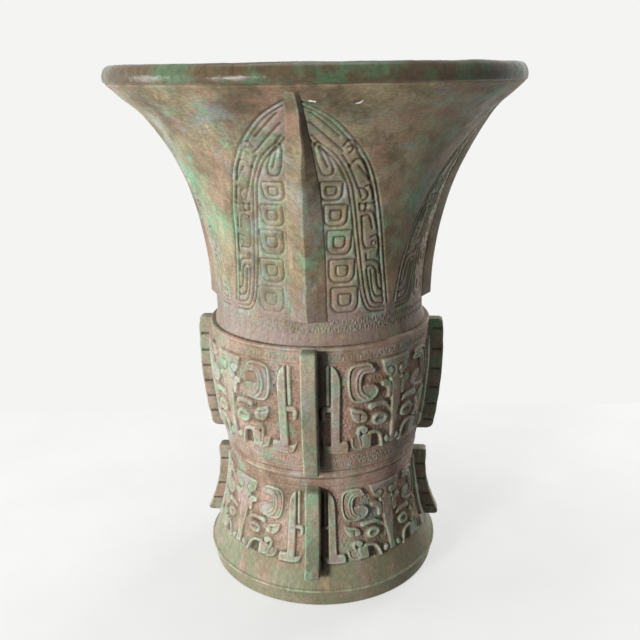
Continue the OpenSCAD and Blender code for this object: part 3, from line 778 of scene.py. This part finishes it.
def plate_flange(name, azimuth, radius, span, cuts, tuck, seed):
    """A flange that follows a wall, with worn edges and notches."""
    low, high = span
    levels = np.concatenate([
        low + FLANGE_EDGE * (1 - np.cos(np.linspace(0, np.pi / 2, EDGE_POINTS))),
        np.arange(low + FLANGE_EDGE + FLANGE_ROW, high - FLANGE_EDGE, FLANGE_ROW),
        high - FLANGE_EDGE * (1 - np.cos(np.linspace(np.pi / 2, 0, EDGE_POINTS))),
    ])
    wander = np.random.default_rng(seed).standard_normal(12)
    cuts = low + (high - low) * np.array(cuts)
    sections, hollows = [], []
    for z in levels:
        end = min(z - low, high - z)
        inset = FLANGE_EDGE - math.sqrt(max(FLANGE_EDGE**2 - max(FLANGE_EDGE - end, 0) ** 2, 0))
        below, above = max(FLANGE_CORNER - (z - low), 0), max(FLANGE_TOP_CORNER - (high - z), 0)
        out = FLANGE_OUT - inset
        out -= FLANGE_CORNER - math.sqrt(FLANGE_CORNER**2 - below**2)
        out -= FLANGE_TOP_CORNER - math.sqrt(max(FLANGE_TOP_CORNER**2 - above**2, 0))
        share = (z - low) / (high - low)
        out -= tuck(share)
        out += EDGE_WAVER * waver(share, wander[:6], 7)
        half = (FLANGE_T - FLANGE_WORN) / 2 - inset
        half += SIDE_WAVER * waver(share, wander[6:], 6, 2)
        radial, across, on_edge = flange_section(out, half)
        cut = soft(1.25 - np.abs(z - cuts).min() / NOTCH_W)
        on_side = soft((radial - out + NOTCH_L) / 1.2) * soft((out - FLANGE_EDGE + 0.4 - radial) / 0.8)
        depth = NOTCH_D * cut * on_side * (np.abs(across) > half - 0.01)
        across = np.sign(across) * (np.abs(across) - depth)
        sections.append(stood_up(radius(z) + radial, across, z, azimuth))
        hollows.append(EDGE_LIGHT * on_edge - depth + EDGE_LIGHT * (inset > 0.2))
    return loft(name, np.array(sections), {"hollows_edges_and_shade": np.array(hollows)}, flange_bronze)


# Roof-shaped ridges of the neck
RIDGE_TOP = HEIGHT - 16
# Level, half widths to the left and right in degrees, height of the crest, and its lean in degrees
RIDGE_PLAN = [
    (222, 9.8, 9.6, 6.6, -1.1), (260, 9.6, 9.1, 6.5, -1), (290, 8.7, 8, 6.3, -0.85),
    (305, 8, 7.1, 6, -0.65), (321, 6.7, 5.8, 5.7, -0.3), (335, 5.5, 4.4, 5.4, 0.2),
    (349, 4.3, 3.1, 4.8, 0.6), (360, 3.4, 2.2, 3.4, 0.7), (368, 2.7, 1.8, 1.5, 0.4),
    (374, 2, 1.5, 0.1, 0)
]
RIDGE_BEVEL = 0.9
RIDGE_SINK = 1.2
RIDGE_POINTS = 41
RIDGE_CREST = 0.05
RIDGE_LEVELS = 230
RIDGE_WAVER = 0.12
# How light the worn crest is, and its half width
CREST_LIGHT = (0.45, 0.8)
# Painted shade on a ridge's right face: strength low down, what is added, from which level and over what
# height
RIDGE_PAINTED_SHADE = (0.25, 0.5, 290, 60)


def neck_ridge(name, azimuth, seed):
    """A ridge that runs up the neck: a roof with a narrow worn crest."""
    at, left, right, crest_out, aside = np.array(RIDGE_PLAN).T
    wander = np.random.default_rng(seed).standard_normal(5)
    across_share = np.linspace(-1, 1, RIDGE_POINTS)
    crest = np.sqrt(across_share**2 + RIDGE_CREST**2) - RIDGE_CREST
    roof = 1 - crest / crest.max()
    sunk = RIDGE_SINK * np.clip((np.abs(across_share) - 0.9) / 0.1, 0, 1)
    least, more, shade_z, shade_h = RIDGE_PAINTED_SHADE
    light, light_w = CREST_LIGHT
    sections, hollows = [], []
    for z in np.linspace(RIDGE_LOW, RIDGE_TOP, RIDGE_LEVELS):
        r = swollen_r(z)
        to_left, to_right, lean = (r * np.sin(np.radians(np.interp(z, at, v))) for v in (left, right, aside))
        lean += RIDGE_WAVER * waver((z - RIDGE_LOW) / (RIDGE_TOP - RIDGE_LOW), wander, 8)
        out = np.interp(z, at, crest_out) * np.clip((z - RIDGE_LOW) / RIDGE_BEVEL, 0, 1) ** 0.8
        across = across_share * np.where(across_share > 0, to_right, to_left)
        ends = across[[-1, 0]]
        radial = np.sqrt(r**2 - across**2) + out * roof - sunk
        under = np.sqrt(r**2 - ends**2) - 2 * RIDGE_SINK
        across = np.concatenate([across + lean * roof, ends])
        sections.append(stood_up(np.concatenate([radial, under]), across, z, azimuth))
        # Painted shade on the right face, darker towards the top, carried into the colour by the hollow
        # values
        painted_shade_and_dirt = least + more * soft((z - shade_z) / shade_h)
        hollow = light * np.exp(-((across_share * to_left / light_w) ** 2))
        hollow -= painted_shade_and_dirt * soft((across_share - 0.1) / 0.25)
        hollows.append(np.concatenate([hollow, [0, 0]]))
    return loft(name, np.array(sections), {"hollows_edges_and_shade": np.array(hollows)}, neck_bronze)


# Materials
def linear(text):
    """A colour written as on a screen, as the shader's numbers."""
    parts = [int(text[k:k + 2], 16) / 255 for k in (1, 3, 5)]
    return [p / 12.92 if p <= 0.04045 else ((p + 0.055) / 1.055) ** 2.4 for p in parts] + [1.0]


BROWN = "#86705d"
PINK = "#aa9386"
UMBER = "#71654f"
SAND = "#9d9176"
DEEP = "#514238"
ROSE = "#a07d6e"
BLUE_GREY = "#949e9d"
VERDIGRIS = "#7ca384"
TOP_GREY = "#a8a3a8"
TOP_GREEN = "#83a58a"
PALE_GREEN = "#bccdb2"
CREAM = "#c8ae82"
PLATE_DARK = "#6f7560"
PLATE_LIGHT = "#a29484"
MAUVE = "#8f7e77"
OLIVE = "#7e8066"
# Dark tone for dirt in the hollows and for painted shade
DIRT_AND_SHADE = "#2f231b"
INSIDE = "#584d3e"
RIM_BROWN = "#4f4131"
RIM_GREEN = "#446248"
CHALK = "#eeebe4"
SPECULAR = 0.16


# Sockets of a colour mix, which share their names with others
MIX_A, MIX_B, MIX_RESULT = 6, 7, 2


class Nodes:
    """A node tree, with short ways to add to it."""

    def __init__(self, tree):
        self.tree = tree

    def set(self, socket, value):
        if isinstance(value, bpy.types.NodeSocket):
            self.tree.links.new(value, socket)
        else:
            socket.default_value = value

    def add(self, kind, inputs, **settings):
        """A new node with its settings, and its inputs as numbers or links."""
        node = self.tree.nodes.new("ShaderNode" + kind)
        for key, value in settings.items():
            setattr(node, key, value)
        for key, value in inputs.items():
            self.set(node.inputs[key], value)
        return node

    def math(self, kind, a, b):
        clamp = kind == "MULTIPLY"
        return self.add("Math", {0: a, 1: b}, operation=kind, use_clamp=clamp).outputs["Value"]

    def seen_rays(self):
        """1 for rays from the camera, off a gloss or through glass, and 0 for others."""
        ray = self.add("LightPath", {}).outputs
        seen = self.math("MAXIMUM", ray["Is Camera Ray"], ray["Is Glossy Ray"])
        return self.math("MAXIMUM", seen, ray["Is Transmission Ray"])

    def show(self, share, first, second, output):
        """Mixes two shaders by a share, as the surface of a material or a world."""
        both = self.add("MixShader", {0: share, 1: first.outputs[0], 2: second.outputs[0]})
        self.set(self.tree.nodes[output].inputs["Surface"], both.outputs["Shader"])


class Shader(Nodes):
    """The nodes of a material."""

    def __init__(self, name, flowing=True):
        self.material = bpy.data.materials.new(name)
        self.material.use_nodes = True
        super().__init__(self.material.node_tree)
        self.bsdf = self.tree.nodes["Principled BSDF"]
        if flowing:
            self.where = self.attribute("flow", "Vector")
        else:
            self.where = self.add("TexCoord", {}).outputs["Object"]

    def attribute(self, name, kind="Fac"):
        return self.add("Attribute", {}, attribute_name=name).outputs[kind]

    def noise(self, size_mm, detail=4.0, rough=0.55, shift=0.0, twist=0.0, stretch=1.0):
        """Noise with lumps of about a size, drawn out upwards, and moved aside so that no two are alike."""
        aside = (shift, 0.7 * shift, -0.4 * shift)
        move = self.add("Mapping", {"Vector": self.where, "Scale": (1, 1, 1 / stretch), "Location": aside})
        inputs = {"Scale": 1 / (size_mm * MM), "Detail": detail, "Roughness": rough, "Distortion": twist}
        return self.add("TexNoise", {**inputs, "Vector": move.outputs["Vector"]}).outputs["Fac"]

    def ramp(self, value, low, high, to_low=0.0, to_high=1.0):
        inputs = {"Value": value, "From Min": low, "From Max": high, "To Min": to_low, "To Max": to_high}
        return self.add("MapRange", inputs, interpolation_type="SMOOTHSTEP").outputs["Result"]

    def patches(self, noise, *span):
        """A noise pushed apart by a ramp."""
        return self.ramp(self.noise(*noise), *span)

    def reach(self, low, high):
        """How far a point lies up the wall between two flow heights, from 0 to 1."""
        return self.ramp(self.add("SeparateXYZ", {"Vector": self.where}).outputs["Z"], low, high)

    def mix(self, amount, a, b):
        a, b = (linear(c) if isinstance(c, str) else c for c in (a, b))
        return self.add("Mix", {"Factor": amount, MIX_A: a, MIX_B: b}, data_type="RGBA").outputs[MIX_RESULT]

    def scaled(self, colour, amount):
        return self.add("VectorMath", {0: colour, "Scale": amount}, operation="SCALE").outputs["Vector"]


# Layers over the ground: lump size in mm, detail, roughness, shift and twist of the noise, how much more it
# is drawn upwards, where the layer starts and is full, its strength and its colour
LAYERS = [
    ((26, 7, 0.7, 47.0, 0.2), 1.0, 0.48, 0.64, 0.6, ROSE),
    ((40, 6, 0.66, 7.7, 0.3), 1.0, 0.53, 0.68, 0.6, BLUE_GREY),
    ((13, 8, 0.72, 12.9, 0.3), 1.5, 0.59, 0.72, 0.7, CREAM),
]
# Noise at which verdigris starts and is full, and by how much a green piece lowers both
VERDIGRIS_FROM = 0.61
VERDIGRIS_FULL = 0.74
VERDIGRIS_EASE = 0.12
RIM_COVER = 0.88
RIM_POLISH = 0.24
BUMP_STRENGTH = 0.45
BUMP_MM = 0.3


def bronze(name, dark, light, deep, green, streaks, drawn, zone=None, flowing=True):
    """Patinated bronze: brown ground, verdigris in patches and on the relief, dirt in the hollows, and
    painted shade right of the flanges and on the ridges' right faces.
    """
    s = Shader(name, flowing)
    marks = ("hollows_edges_and_shade", "green", "inside", "rim", "chip", "bloom", "painted_shade_and_dirt")
    hollows_edges_and_shade, relief, inner, rim, chip, bloom, painted_shade_and_dirt = (s.attribute(key) for key in marks)
    colour = s.mix(s.patches((34, 7, 0.68, 1.3, 0.2, drawn), 0.38, 0.62), dark, light)
    colour = s.mix(s.patches((40, 7, 0.7, 4.1, 0.3, drawn), 0.5, 0.66, 0, deep), colour, DEEP)
    for noise, more, start, full, strength, tint in LAYERS:
        colour = s.mix(s.patches((*noise, more * drawn), start, full, 0, strength), colour, tint)
    ease = VERDIGRIS_EASE * green
    spots = s.patches((26, 8, 0.72, 21.3, 0.4, drawn), VERDIGRIS_FROM - ease, VERDIGRIS_FULL - ease, 0, 0.75)
    blooms = s.math("MULTIPLY", bloom, s.patches((15, 8, 0.74, 71.0, 0.5), 0.42, 0.58, 0, 1.1))
    colour = s.mix(s.math("MAXIMUM", spots, s.math("MULTIPLY", blooms, 0.9)), colour, VERDIGRIS)
    if zone:
        start, end, tint = zone
        broken = s.patches((13, 8, 0.76, 61.0, 0.3), 0.39, 0.55, 0.2, 0.95)
        colour = s.mix(s.math("MULTIPLY", s.reach(start, end), broken), colour, tint)
    top = s.mix(s.patches((20, 6, 0.65, 33.0), 0.39, 0.56), TOP_GREY, TOP_GREEN)
    worn_tops = s.patches((15, 7, 0.7, 37.0), 0.38, 0.62, 0.08, 0.75)
    colour = s.mix(s.math("MULTIPLY", relief, worn_tops), colour, top)
    worn_edges = s.patches((14, 6, 0.65, 30.1), 0.38, 0.62, 0.05, 0.45)
    colour = s.mix(s.math("MULTIPLY", s.ramp(hollows_edges_and_shade, 0.15, 0.5), worn_edges), colour, PALE_GREEN)
    rim_tone = s.mix(s.patches((26, 8, 0.72, 58.3), 0.44, 0.56, 0, 0.9), RIM_BROWN, RIM_GREEN)
    colour = s.mix(s.math("MULTIPLY", rim, RIM_COVER), colour, rim_tone)
    # Dirt in the hollows, and painted shade on the ridges' right faces
    colour = s.mix(s.ramp(hollows_edges_and_shade, -0.1, -0.75, 0, 0.66), colour, DIRT_AND_SHADE)
    # Painted shadow right of the flanges and light dirt left of them, then the darker inside colour
    for mark, noise, span, tint in (
        (painted_shade_and_dirt, (8, 5, 0.6, 81.0), (0.3, 0.6, 0.85, 1.0), DIRT_AND_SHADE),
        (inner, (40, 4, 0.6, 9.0), (0.2, 0.8, 0.75, 1.0), INSIDE),
    ):
        colour = s.mix(s.math("MULTIPLY", mark, s.patches(noise, *span)), colour, tint)
    colour = s.scaled(colour, s.patches((1.9, 6, 0.66, 2.2), 0.3, 0.72, 0.78, 1.18))
    runs = s.patches((2.2, 5, 0.62, 41.0, 0.3, 9.0), 0.3, 0.7, 1 - streaks, 1 + streaks)
    colour = s.mix(s.ramp(chip, 0.3, 0.6), s.scaled(colour, runs), CHALK)
    s.set(s.bsdf.inputs["Base Color"], colour)
    dull = s.patches((9, 5, 0.6, 5.5), 0.3, 0.75, 0.4, 0.6)
    s.set(s.bsdf.inputs["Roughness"], s.math("SUBTRACT", dull, s.math("MULTIPLY", rim, RIM_POLISH)))
    s.bsdf.inputs["Specular IOR Level"].default_value = SPECULAR
    bump = {"Strength": BUMP_STRENGTH, "Distance": BUMP_MM * MM, "Height": s.noise(1.6, 6, 0.62, 17.0)}
    s.set(s.bsdf.inputs["Normal"], s.add("Bump", bump).outputs["Normal"])
    return s.material


# Flow heights at which the collar's and the foot's own tints begin and are full
COLLAR_ZONE = (0.33, 0.306, MAUVE)
FOOT_ZONE = (0.134, 0.11, OLIVE)
neck_bronze = bronze("neck_patina", UMBER, SAND, 0.6, 0.75, 0.1, 1.4, COLLAR_ZONE)
wall_bronze = bronze("wall_patina", BROWN, PINK, 0.45, 0.6, 0.05, 1.0, FOOT_ZONE)
flange_bronze = bronze("flange_patina", PLATE_DARK, PLATE_LIGHT, 0.5, 1.1, 0.05, 1.5, flowing=False)

# The neck: collar, throat, trumpet and rim outside, then the mouth's lip and the inside down to the spigot
RIM_CURVE = [(0.3, 9.9), (0, 7.6), (0.6, 5.0), (1.9, 2.2), (3.6, 0.7), (5.4, 0)]
RIM_ROUND = 1.6
LIP_IN = 10.0
neck_outer = worn(resample(
    [(THROAT_R + COLLAR_OUT, NECK_Z), (THROAT_R, NECK_Z + COLLAR_H), (THROAT_R, THROAT_Z)]
    + along(swollen_r, THROAT_Z, HEIGHT - RIM_H)
    + [(MOUTH_R - back, HEIGHT - down) for back, down in RIM_CURVE]
    + [(MOUTH_R - LIP_IN + RIM_ROUND, HEIGHT), (MOUTH_R - LIP_IN, HEIGHT - RIM_ROUND)],
    NECK_ROW,
))
neck_inner = resample(
    along(neck_r, HEIGHT - RIM_H, THROAT_Z, -WALL)
    + [(THROAT_R - WALL, NECK_Z - SPIGOT_H), (THROAT_R - 0.1, NECK_Z - SPIGOT_H)]
    + [(THROAT_R - 0.1, NECK_Z - 0.5)],
    INNER_ROW,
)
neck_drawing = Drawing(neck_outer[:np.argmax(neck_outer[:, 1])])
draw_leaf(neck_drawing)
NECK_BAND = (NECK_Z + 8.5, NECK_Z + 18.5)
# Chips to the right of the front ridge: line and half width
CHIPS = [
    ([(3.4, 369.2), (4.9, 368.6)], 0.6), ([(14.8, 367.2), (15.6, 367.6), (16.2, 368.6)], 0.6)
]
CHIP_D = 0.5
neck_drawing.band(*NECK_BAND, 5.6, 2, 0.6)
for level in (NECK_BAND[0] - 0.6, NECK_BAND[1] + 0.8, NECK_BAND[1] + 2.6):
    neck_drawing.ring_line(level, 0.7, 0.45)
neck_drawing.ring_line(HEIGHT - RIM_H - 0.6, 0.8, 0.8)
above = ((0, len(neck_outer) - len(neck_drawing.z)), (0, 0))
chips = np.zeros((len(neck_drawing.z), COLUMNS))
for line, width in CHIPS:
    gap = gap_to(neck_drawing.x, neck_drawing.y, neck_drawing.place(line))
    chips[:, :HALF + 1] = np.maximum(chips[:, :HALF + 1], soft(1.5 - gap / width))
# Verdigris blooms: degrees from the front, level, half width in degrees, half height and strength
BLOOMS = [
    (-62, 318, 16, 20, 1), (-43, 290, 7, 16, 0.9), (-16, 262, 6, 22, 0.6), (48, 308, 7, 14, 0.9),
    (36, 285, 5, 8, 0.6), (-80, 350, 12, 10, 0.7), (20, 240, 5, 14, 0.5), (140, 320, 18, 18, 0.9),
    (190, 280, 14, 22, 0.8), (235, 335, 16, 14, 0.9)
]
from_front = 360 * np.arange(COLUMNS)[None, :] / COLUMNS
bloom = np.zeros((len(neck_outer), COLUMNS))
for degrees, level, wide, tall, strength in BLOOMS:
    aside = (from_front - degrees + 180) % 360 - 180
    spread = (aside / wide) ** 2 + ((neck_outer[:, 1:] - level) / tall) ** 2
    bloom = np.maximum(bloom, strength * np.exp(-spread))
neck_marks = {
    "bloom": bloom,
    "green": np.pad(neck_drawing.whole(neck_drawing.green), above),
    "chip": np.pad(chips, above),
    "rim": np.repeat(soft((neck_outer[:, 1:] - HEIGHT + RIM_H + 1) / 2), COLUMNS, axis=1),
}
# The cut lines are worn fainter to the left of each ridge
SIDE_WEAR = 0.16
worn_side = 1 - SIDE_WEAR + SIDE_WEAR * np.sin(8 * np.pi * np.arange(COLUMNS) / COLUMNS)
neck_heights = np.pad(neck_drawing.whole(neck_drawing.height) * worn_side - CHIP_D * chips, above)
neck_wall = wall_piece("neck_wall", neck_outer, neck_inner, NECK_ROW, neck_heights, neck_marks, neck_bronze)
# The rim stands a little higher and farther out on the left
RIM_LIFT = 1.7
RIM_SPREAD = 2.2
RIM_MOVE_DOWN = 24
RIM_MOVE_H = 14
spots = np.empty(3 * len(neck_wall.data.vertices))
neck_wall.data.vertices.foreach_get("co", spots)
spots = spots.reshape(-1, 3) / MM
leftward = np.clip(-spots[:, 0] / MOUTH_R, 0, 1) ** 2
leftward *= soft((spots[:, 2] - HEIGHT + RIM_MOVE_DOWN) / RIM_MOVE_H)
spots[:, 0] -= RIM_SPREAD * leftward
spots[:, 2] += RIM_LIFT * leftward
neck_wall.data.vertices.foreach_set("co", spots.ravel() * MM)
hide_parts("neck", "neck_band", *[f"neck_leaf_{side}" for side in LINES])


# Painted shadow along the flanges' feet on their right side, and light dirt on their left: strength, distance
# and reach
SHADE_AND_DIRT_STRIPS = ((1.3, 5.5, 4.0), (0.35, -4.0, 2.5))
SHADE_AND_DIRT_MOST = 0.97
SHADE_AND_DIRT_FADE = 6.0


def tier_wall(name, drawing, outer, inner, flange_span):
    """The wall of the belly or of the foot, with painted shadow to the right of its flanges and light dirt to
    their left.
    """
    degrees = (360 * np.arange(COLUMNS) / COLUMNS + MIDDLE) % (2 * MIDDLE) - MIDDLE
    aside = np.radians(degrees)[None, :] * outer[:, :1]
    # The strip to the right of each flange is painted shadow, and the one to its left is light dirt
    strips = [most * np.exp(-(((aside - at) / reach) ** 2)) for most, at, reach in SHADE_AND_DIRT_STRIPS]
    painted_shade_and_dirt = np.minimum(np.where(aside > 0, *strips), SHADE_AND_DIRT_MOST)
    painted_shade_and_dirt = painted_shade_and_dirt * between(outer[:, 1:], *flange_span, SHADE_AND_DIRT_FADE)
    marks = {"green": drawing.whole(drawing.green), "painted_shade_and_dirt": painted_shade_and_dirt}
    return wall_piece(name, outer, inner, ROW, drawing.whole(drawing.height), marks, wall_bronze)


# The belly: its barrel wall outside, and its ledge and spigot inside
belly_outer = worn(resample(
    [(WAIST_R + 1.5, BELLY_Z)] + along(belly_r, BELLY_Z, NECK_Z) + [(THROAT_R + 0.4, NECK_Z)], ROW
))
belly_inner = resample(
    [(THROAT_R + 0.2, NECK_Z - 0.6), (THROAT_R + 0.2, NECK_Z - SPIGOT_H)]
    + along(belly_r, NECK_Z - SPIGOT_H, FLOOR_Z[0], -WALL)
    + [(FLOOR_R - 9, FLOOR_Z[0]), (FLOOR_R - 9, BELLY_Z - 9), (WAIST_R - WALL - 0.3, BELLY_Z - 9)]
    + [(WAIST_R - WALL - 0.3, BELLY_Z)],
    INNER_ROW,
)
BELLY_UPPER = (NECK_Z - 11, NECK_Z - 4.5)
BELLY_LOWER = (BELLY_Z + 9.5, BELLY_Z + 19.5)
FLANGE_SIDE = 4.2
belly_drawing = Drawing(belly_outer)
draw_mask(belly_drawing, *MASK_Z["belly"])
draw_ground(belly_drawing, MASK_Z["belly"][0] - 1, MASK_Z["belly"][1] + 1, FLANGE_SIDE)
belly_drawing.band(*BELLY_UPPER, 6.4, 1, 0.42, FLANGE_SIDE)
belly_drawing.band(*BELLY_LOWER, 5.8, 2, 0.5, FLANGE_SIDE)
for level in (BELLY_UPPER[1] + 0.9, BELLY_UPPER[0] - 0.8, BELLY_LOWER[1] + 0.6, BELLY_LOWER[0] - 0.9):
    belly_drawing.ring_line(level, 0.7, 0.5)
for ring in ((NECK_Z - 1.7, 1.5, -0.6), (BELLY_Z + 5.6, 0.9, 0.7), (BELLY_Z + 2.0, 2.4, -0.9)):
    belly_drawing.ring_line(*ring)
belly_wall = tier_wall("belly_wall", belly_drawing, belly_outer, belly_inner, BELLY_FLANGE_Z)
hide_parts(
    "belly", "belly_upper_band", "belly_lower_band", *[f"belly_mask_{n}" for n in (1, 2, 3, 4)]
)

# The foot: flare and edge band outside, and the hollow inside
edge_r = float(foot_r(EDGE_H)) + EDGE_OUT
foot_outer = worn(resample(
    [(edge_r - EDGE_IN - WALL + 1.2, 0), (edge_r - EDGE_IN - 1, 0), (edge_r - EDGE_IN, 1), (edge_r, EDGE_H)]
    + along(foot_r, EDGE_H + 0.4, BELLY_Z - 0.3) + [(WAIST_R - 1.5, BELLY_Z)],
    ROW,
))
foot_inner = resample(
    along(foot_r, BELLY_Z - 0.3, EDGE_H, -WALL) + [(edge_r - EDGE_IN - WALL, 0.6)], INNER_ROW
)
foot_drawing = Drawing(foot_outer)
draw_mask(foot_drawing, *MASK_Z["foot"], FOOT_DEGREES, FOOT_SHARES)
draw_ground(foot_drawing, MASK_Z["foot"][0] - 1, MASK_Z["foot"][1] + 1, FLANGE_SIDE)
for ring in ((EDGE_H - 0.2, 1.6, -0.8), (BELLY_Z - 8.0, 0.8, 0.5), (BELLY_Z - 1.4, 1.6, 0.9)):
    foot_drawing.ring_line(*ring)
foot_wall = tier_wall("foot_wall", foot_drawing, foot_outer, foot_inner, FOOT_FLANGE_Z)
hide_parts("foot", *[f"foot_mask_{n}" for n in (1, 2, 3, 4)])

# The floor inside the belly
FLOOR_RINGS = 16
FLOOR_COLUMNS = 120
FLOOR_DISH = 0.4
rings = np.arange(1, FLOOR_RINGS + 1) / FLOOR_RINGS
floor_path = np.array(
    [(FLOOR_R * k, FLOOR_Z[0]) for k in rings]
    + [(FLOOR_R * k, FLOOR_Z[1] - FLOOR_DISH * (1 - k**2)) for k in rings[::-1]]
)
floor_sections = turned(floor_path, FLOOR_COLUMNS).reshape(-1, FLOOR_COLUMNS, 3)
floor_values = {"inside": np.ones(floor_sections.shape[:2])}
floor_disc = loft("floor_disc", floor_sections, floor_values, wall_bronze)
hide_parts("vessel_floor")

# Flanges and ridges. The flanges' ends are uneven. Notches lie at shares of the height and differ by side
BELLY_ENDS = {"front": (0, 0), "right": (3.0, -2.0), "back": (0, 0), "left": (1.5, -2.0)}
FOOT_ENDS = {"front": (1.5, 0), "right": (6.0, -2.2), "back": (1.5, 0), "left": (3.5, -3.0)}
EVEN_CUTS = (0.14, 0.28, 0.42, 0.56, 0.7, 0.85)
BELLY_CUTS = {"right": (0.085, 0.235, 0.39, 0.56, 0.735, 0.92)}
FEW_CUTS = (0.2, 0.4, 0.6, 0.8)
FOOT_CUTS = {"left": (0.19, 0.42, 0.8), "right": (0.13, 0.32, 0.55, 0.78)}
BELLY_SEED = 40
FOOT_SEED = 50
RIDGE_SEED = 60
for n, (side, azimuth) in enumerate(LINES.items()):
    cuts = BELLY_CUTS.get(side, EVEN_CUTS)
    span = np.add(BELLY_FLANGE_Z, BELLY_ENDS[side])
    flange = plate_flange(f"belly_plate_{side}", azimuth, belly_r, span, cuts, belly_tuck, BELLY_SEED + n)
    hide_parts(f"belly_flange_{side}")
    cuts = FOOT_CUTS.get(side, FEW_CUTS)
    span = np.add(FOOT_FLANGE_Z, FOOT_ENDS[side])
    flange = plate_flange(f"foot_plate_{side}", azimuth, foot_r, span, cuts, foot_tuck, FOOT_SEED + n)
    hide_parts(f"foot_flange_{side}")
    ridge = neck_ridge(f"ridge_{side}", azimuth, RIDGE_SEED + n)
    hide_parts(f"neck_ridge_{side}")

# Stage: a pale table that ends behind the vessel, and a pale room
TABLE_BACK = (0.132, 0.424)
TABLE_SIDE = 1.6
TABLE_LIFT = 0.7
TABLE_ROUGH = 0.6
TABLE_UNSEEN = "#6c6c6a"
TABLE_TONES = ("#efefee", "#f2f2f1")
ROOM_SEEN = "#f4f4f3"
ROOM_LIGHT = (1.0, 0.96, 0.9, 1.0)
ROOM_STRENGTH = 0.07
table_mesh = bpy.data.meshes.new("table")
table_mesh.from_pydata(
    [
        (-TABLE_SIDE, -TABLE_SIDE, 0), (TABLE_SIDE, -TABLE_SIDE, 0), (TABLE_SIDE, TABLE_BACK[1], 0),
        (-TABLE_SIDE, TABLE_BACK[0], 0)
    ],
    [], [(0, 1, 2, 3)],
)
table = placed("table", table_mesh)
paint = Shader("table_paint", flowing=False)
tone = paint.mix(paint.patches((90, 3), 0.3, 0.7), *TABLE_TONES)
paint.bsdf.inputs["Roughness"].default_value = TABLE_ROUGH
glow = paint.add("Emission", {"Color": tone})
looked_at = paint.seen_rays()
paint.set(paint.bsdf.inputs["Base Color"], paint.mix(looked_at, TABLE_UNSEEN, tone))
paint.show(paint.math("MULTIPLY", looked_at, TABLE_LIFT), paint.bsdf, glow, "Material Output")
table_mesh.materials.append(paint.material)

world = bpy.data.worlds.new("room")
world.use_nodes = True
scene.world = world
room = Nodes(world.node_tree)
background = room.tree.nodes["Background"]
background.inputs["Color"].default_value = ROOM_LIGHT
background.inputs["Strength"].default_value = ROOM_STRENGTH
seen = room.add("Background", {"Color": linear(ROOM_SEEN)})
room.show(room.seen_rays(), background, seen, "World Output")

LAMP_AIM = Vector((0, 0, 0.2))


def soft_box(name, place, size, watts, colour=(1, 1, 1)):
    """A square lamp that faces the vessel."""
    lamp = bpy.data.lights.new(name, "AREA")
    lamp.size = size
    lamp.color = colour
    lamp.energy = watts
    box = placed(name, lamp)
    box.location = place
    box.rotation_euler = (LAMP_AIM - box.location).to_track_quat("-Z", "Y").to_euler()
    return box


soft_box("window", (-1.58, -0.2, 0.36), 0.6, 16, (0.9, 0.97, 1.0))
soft_box("front", (-0.92, -1.33, 0.42), 0.34, 29, (1.0, 0.98, 0.95))
soft_box("back", (1.03, 1.23, 0.55), 0.8, 24).visible_glossy = False
soft_box("top", (-0.1, 0.1, 1.9), 1.2, 19)

# The camera, as the photograph was taken
FOCAL_PX = 776.9
IMAGE_PX = 640
SENSOR = 36.0
camera_data = bpy.data.cameras.new("photo_camera")
camera_data.sensor_width = SENSOR
camera_data.lens = FOCAL_PX / IMAGE_PX * SENSOR
camera_data.clip_start = 0.01
camera = placed("photo_camera", camera_data)
CAMERA_TURN = math.radians(5.3)
CAMERA_AWAY = 0.588
CAMERA_UP = 0.3817
CAMERA_PITCH = math.radians(17.35)
CAMERA_ROLL = math.radians(-0.88)
camera.matrix_world = (
    Matrix.Translation((CAMERA_AWAY * math.sin(CAMERA_TURN), -CAMERA_AWAY * math.cos(CAMERA_TURN), CAMERA_UP))
    @ Matrix.Rotation(CAMERA_TURN, 4, "Z")
    @ Matrix.Rotation(math.pi / 2 - CAMERA_PITCH, 4, "X")
    @ Matrix.Rotation(CAMERA_ROLL, 4, "Z")
)
scene.camera = camera
scene.view_settings.view_transform = "Standard"
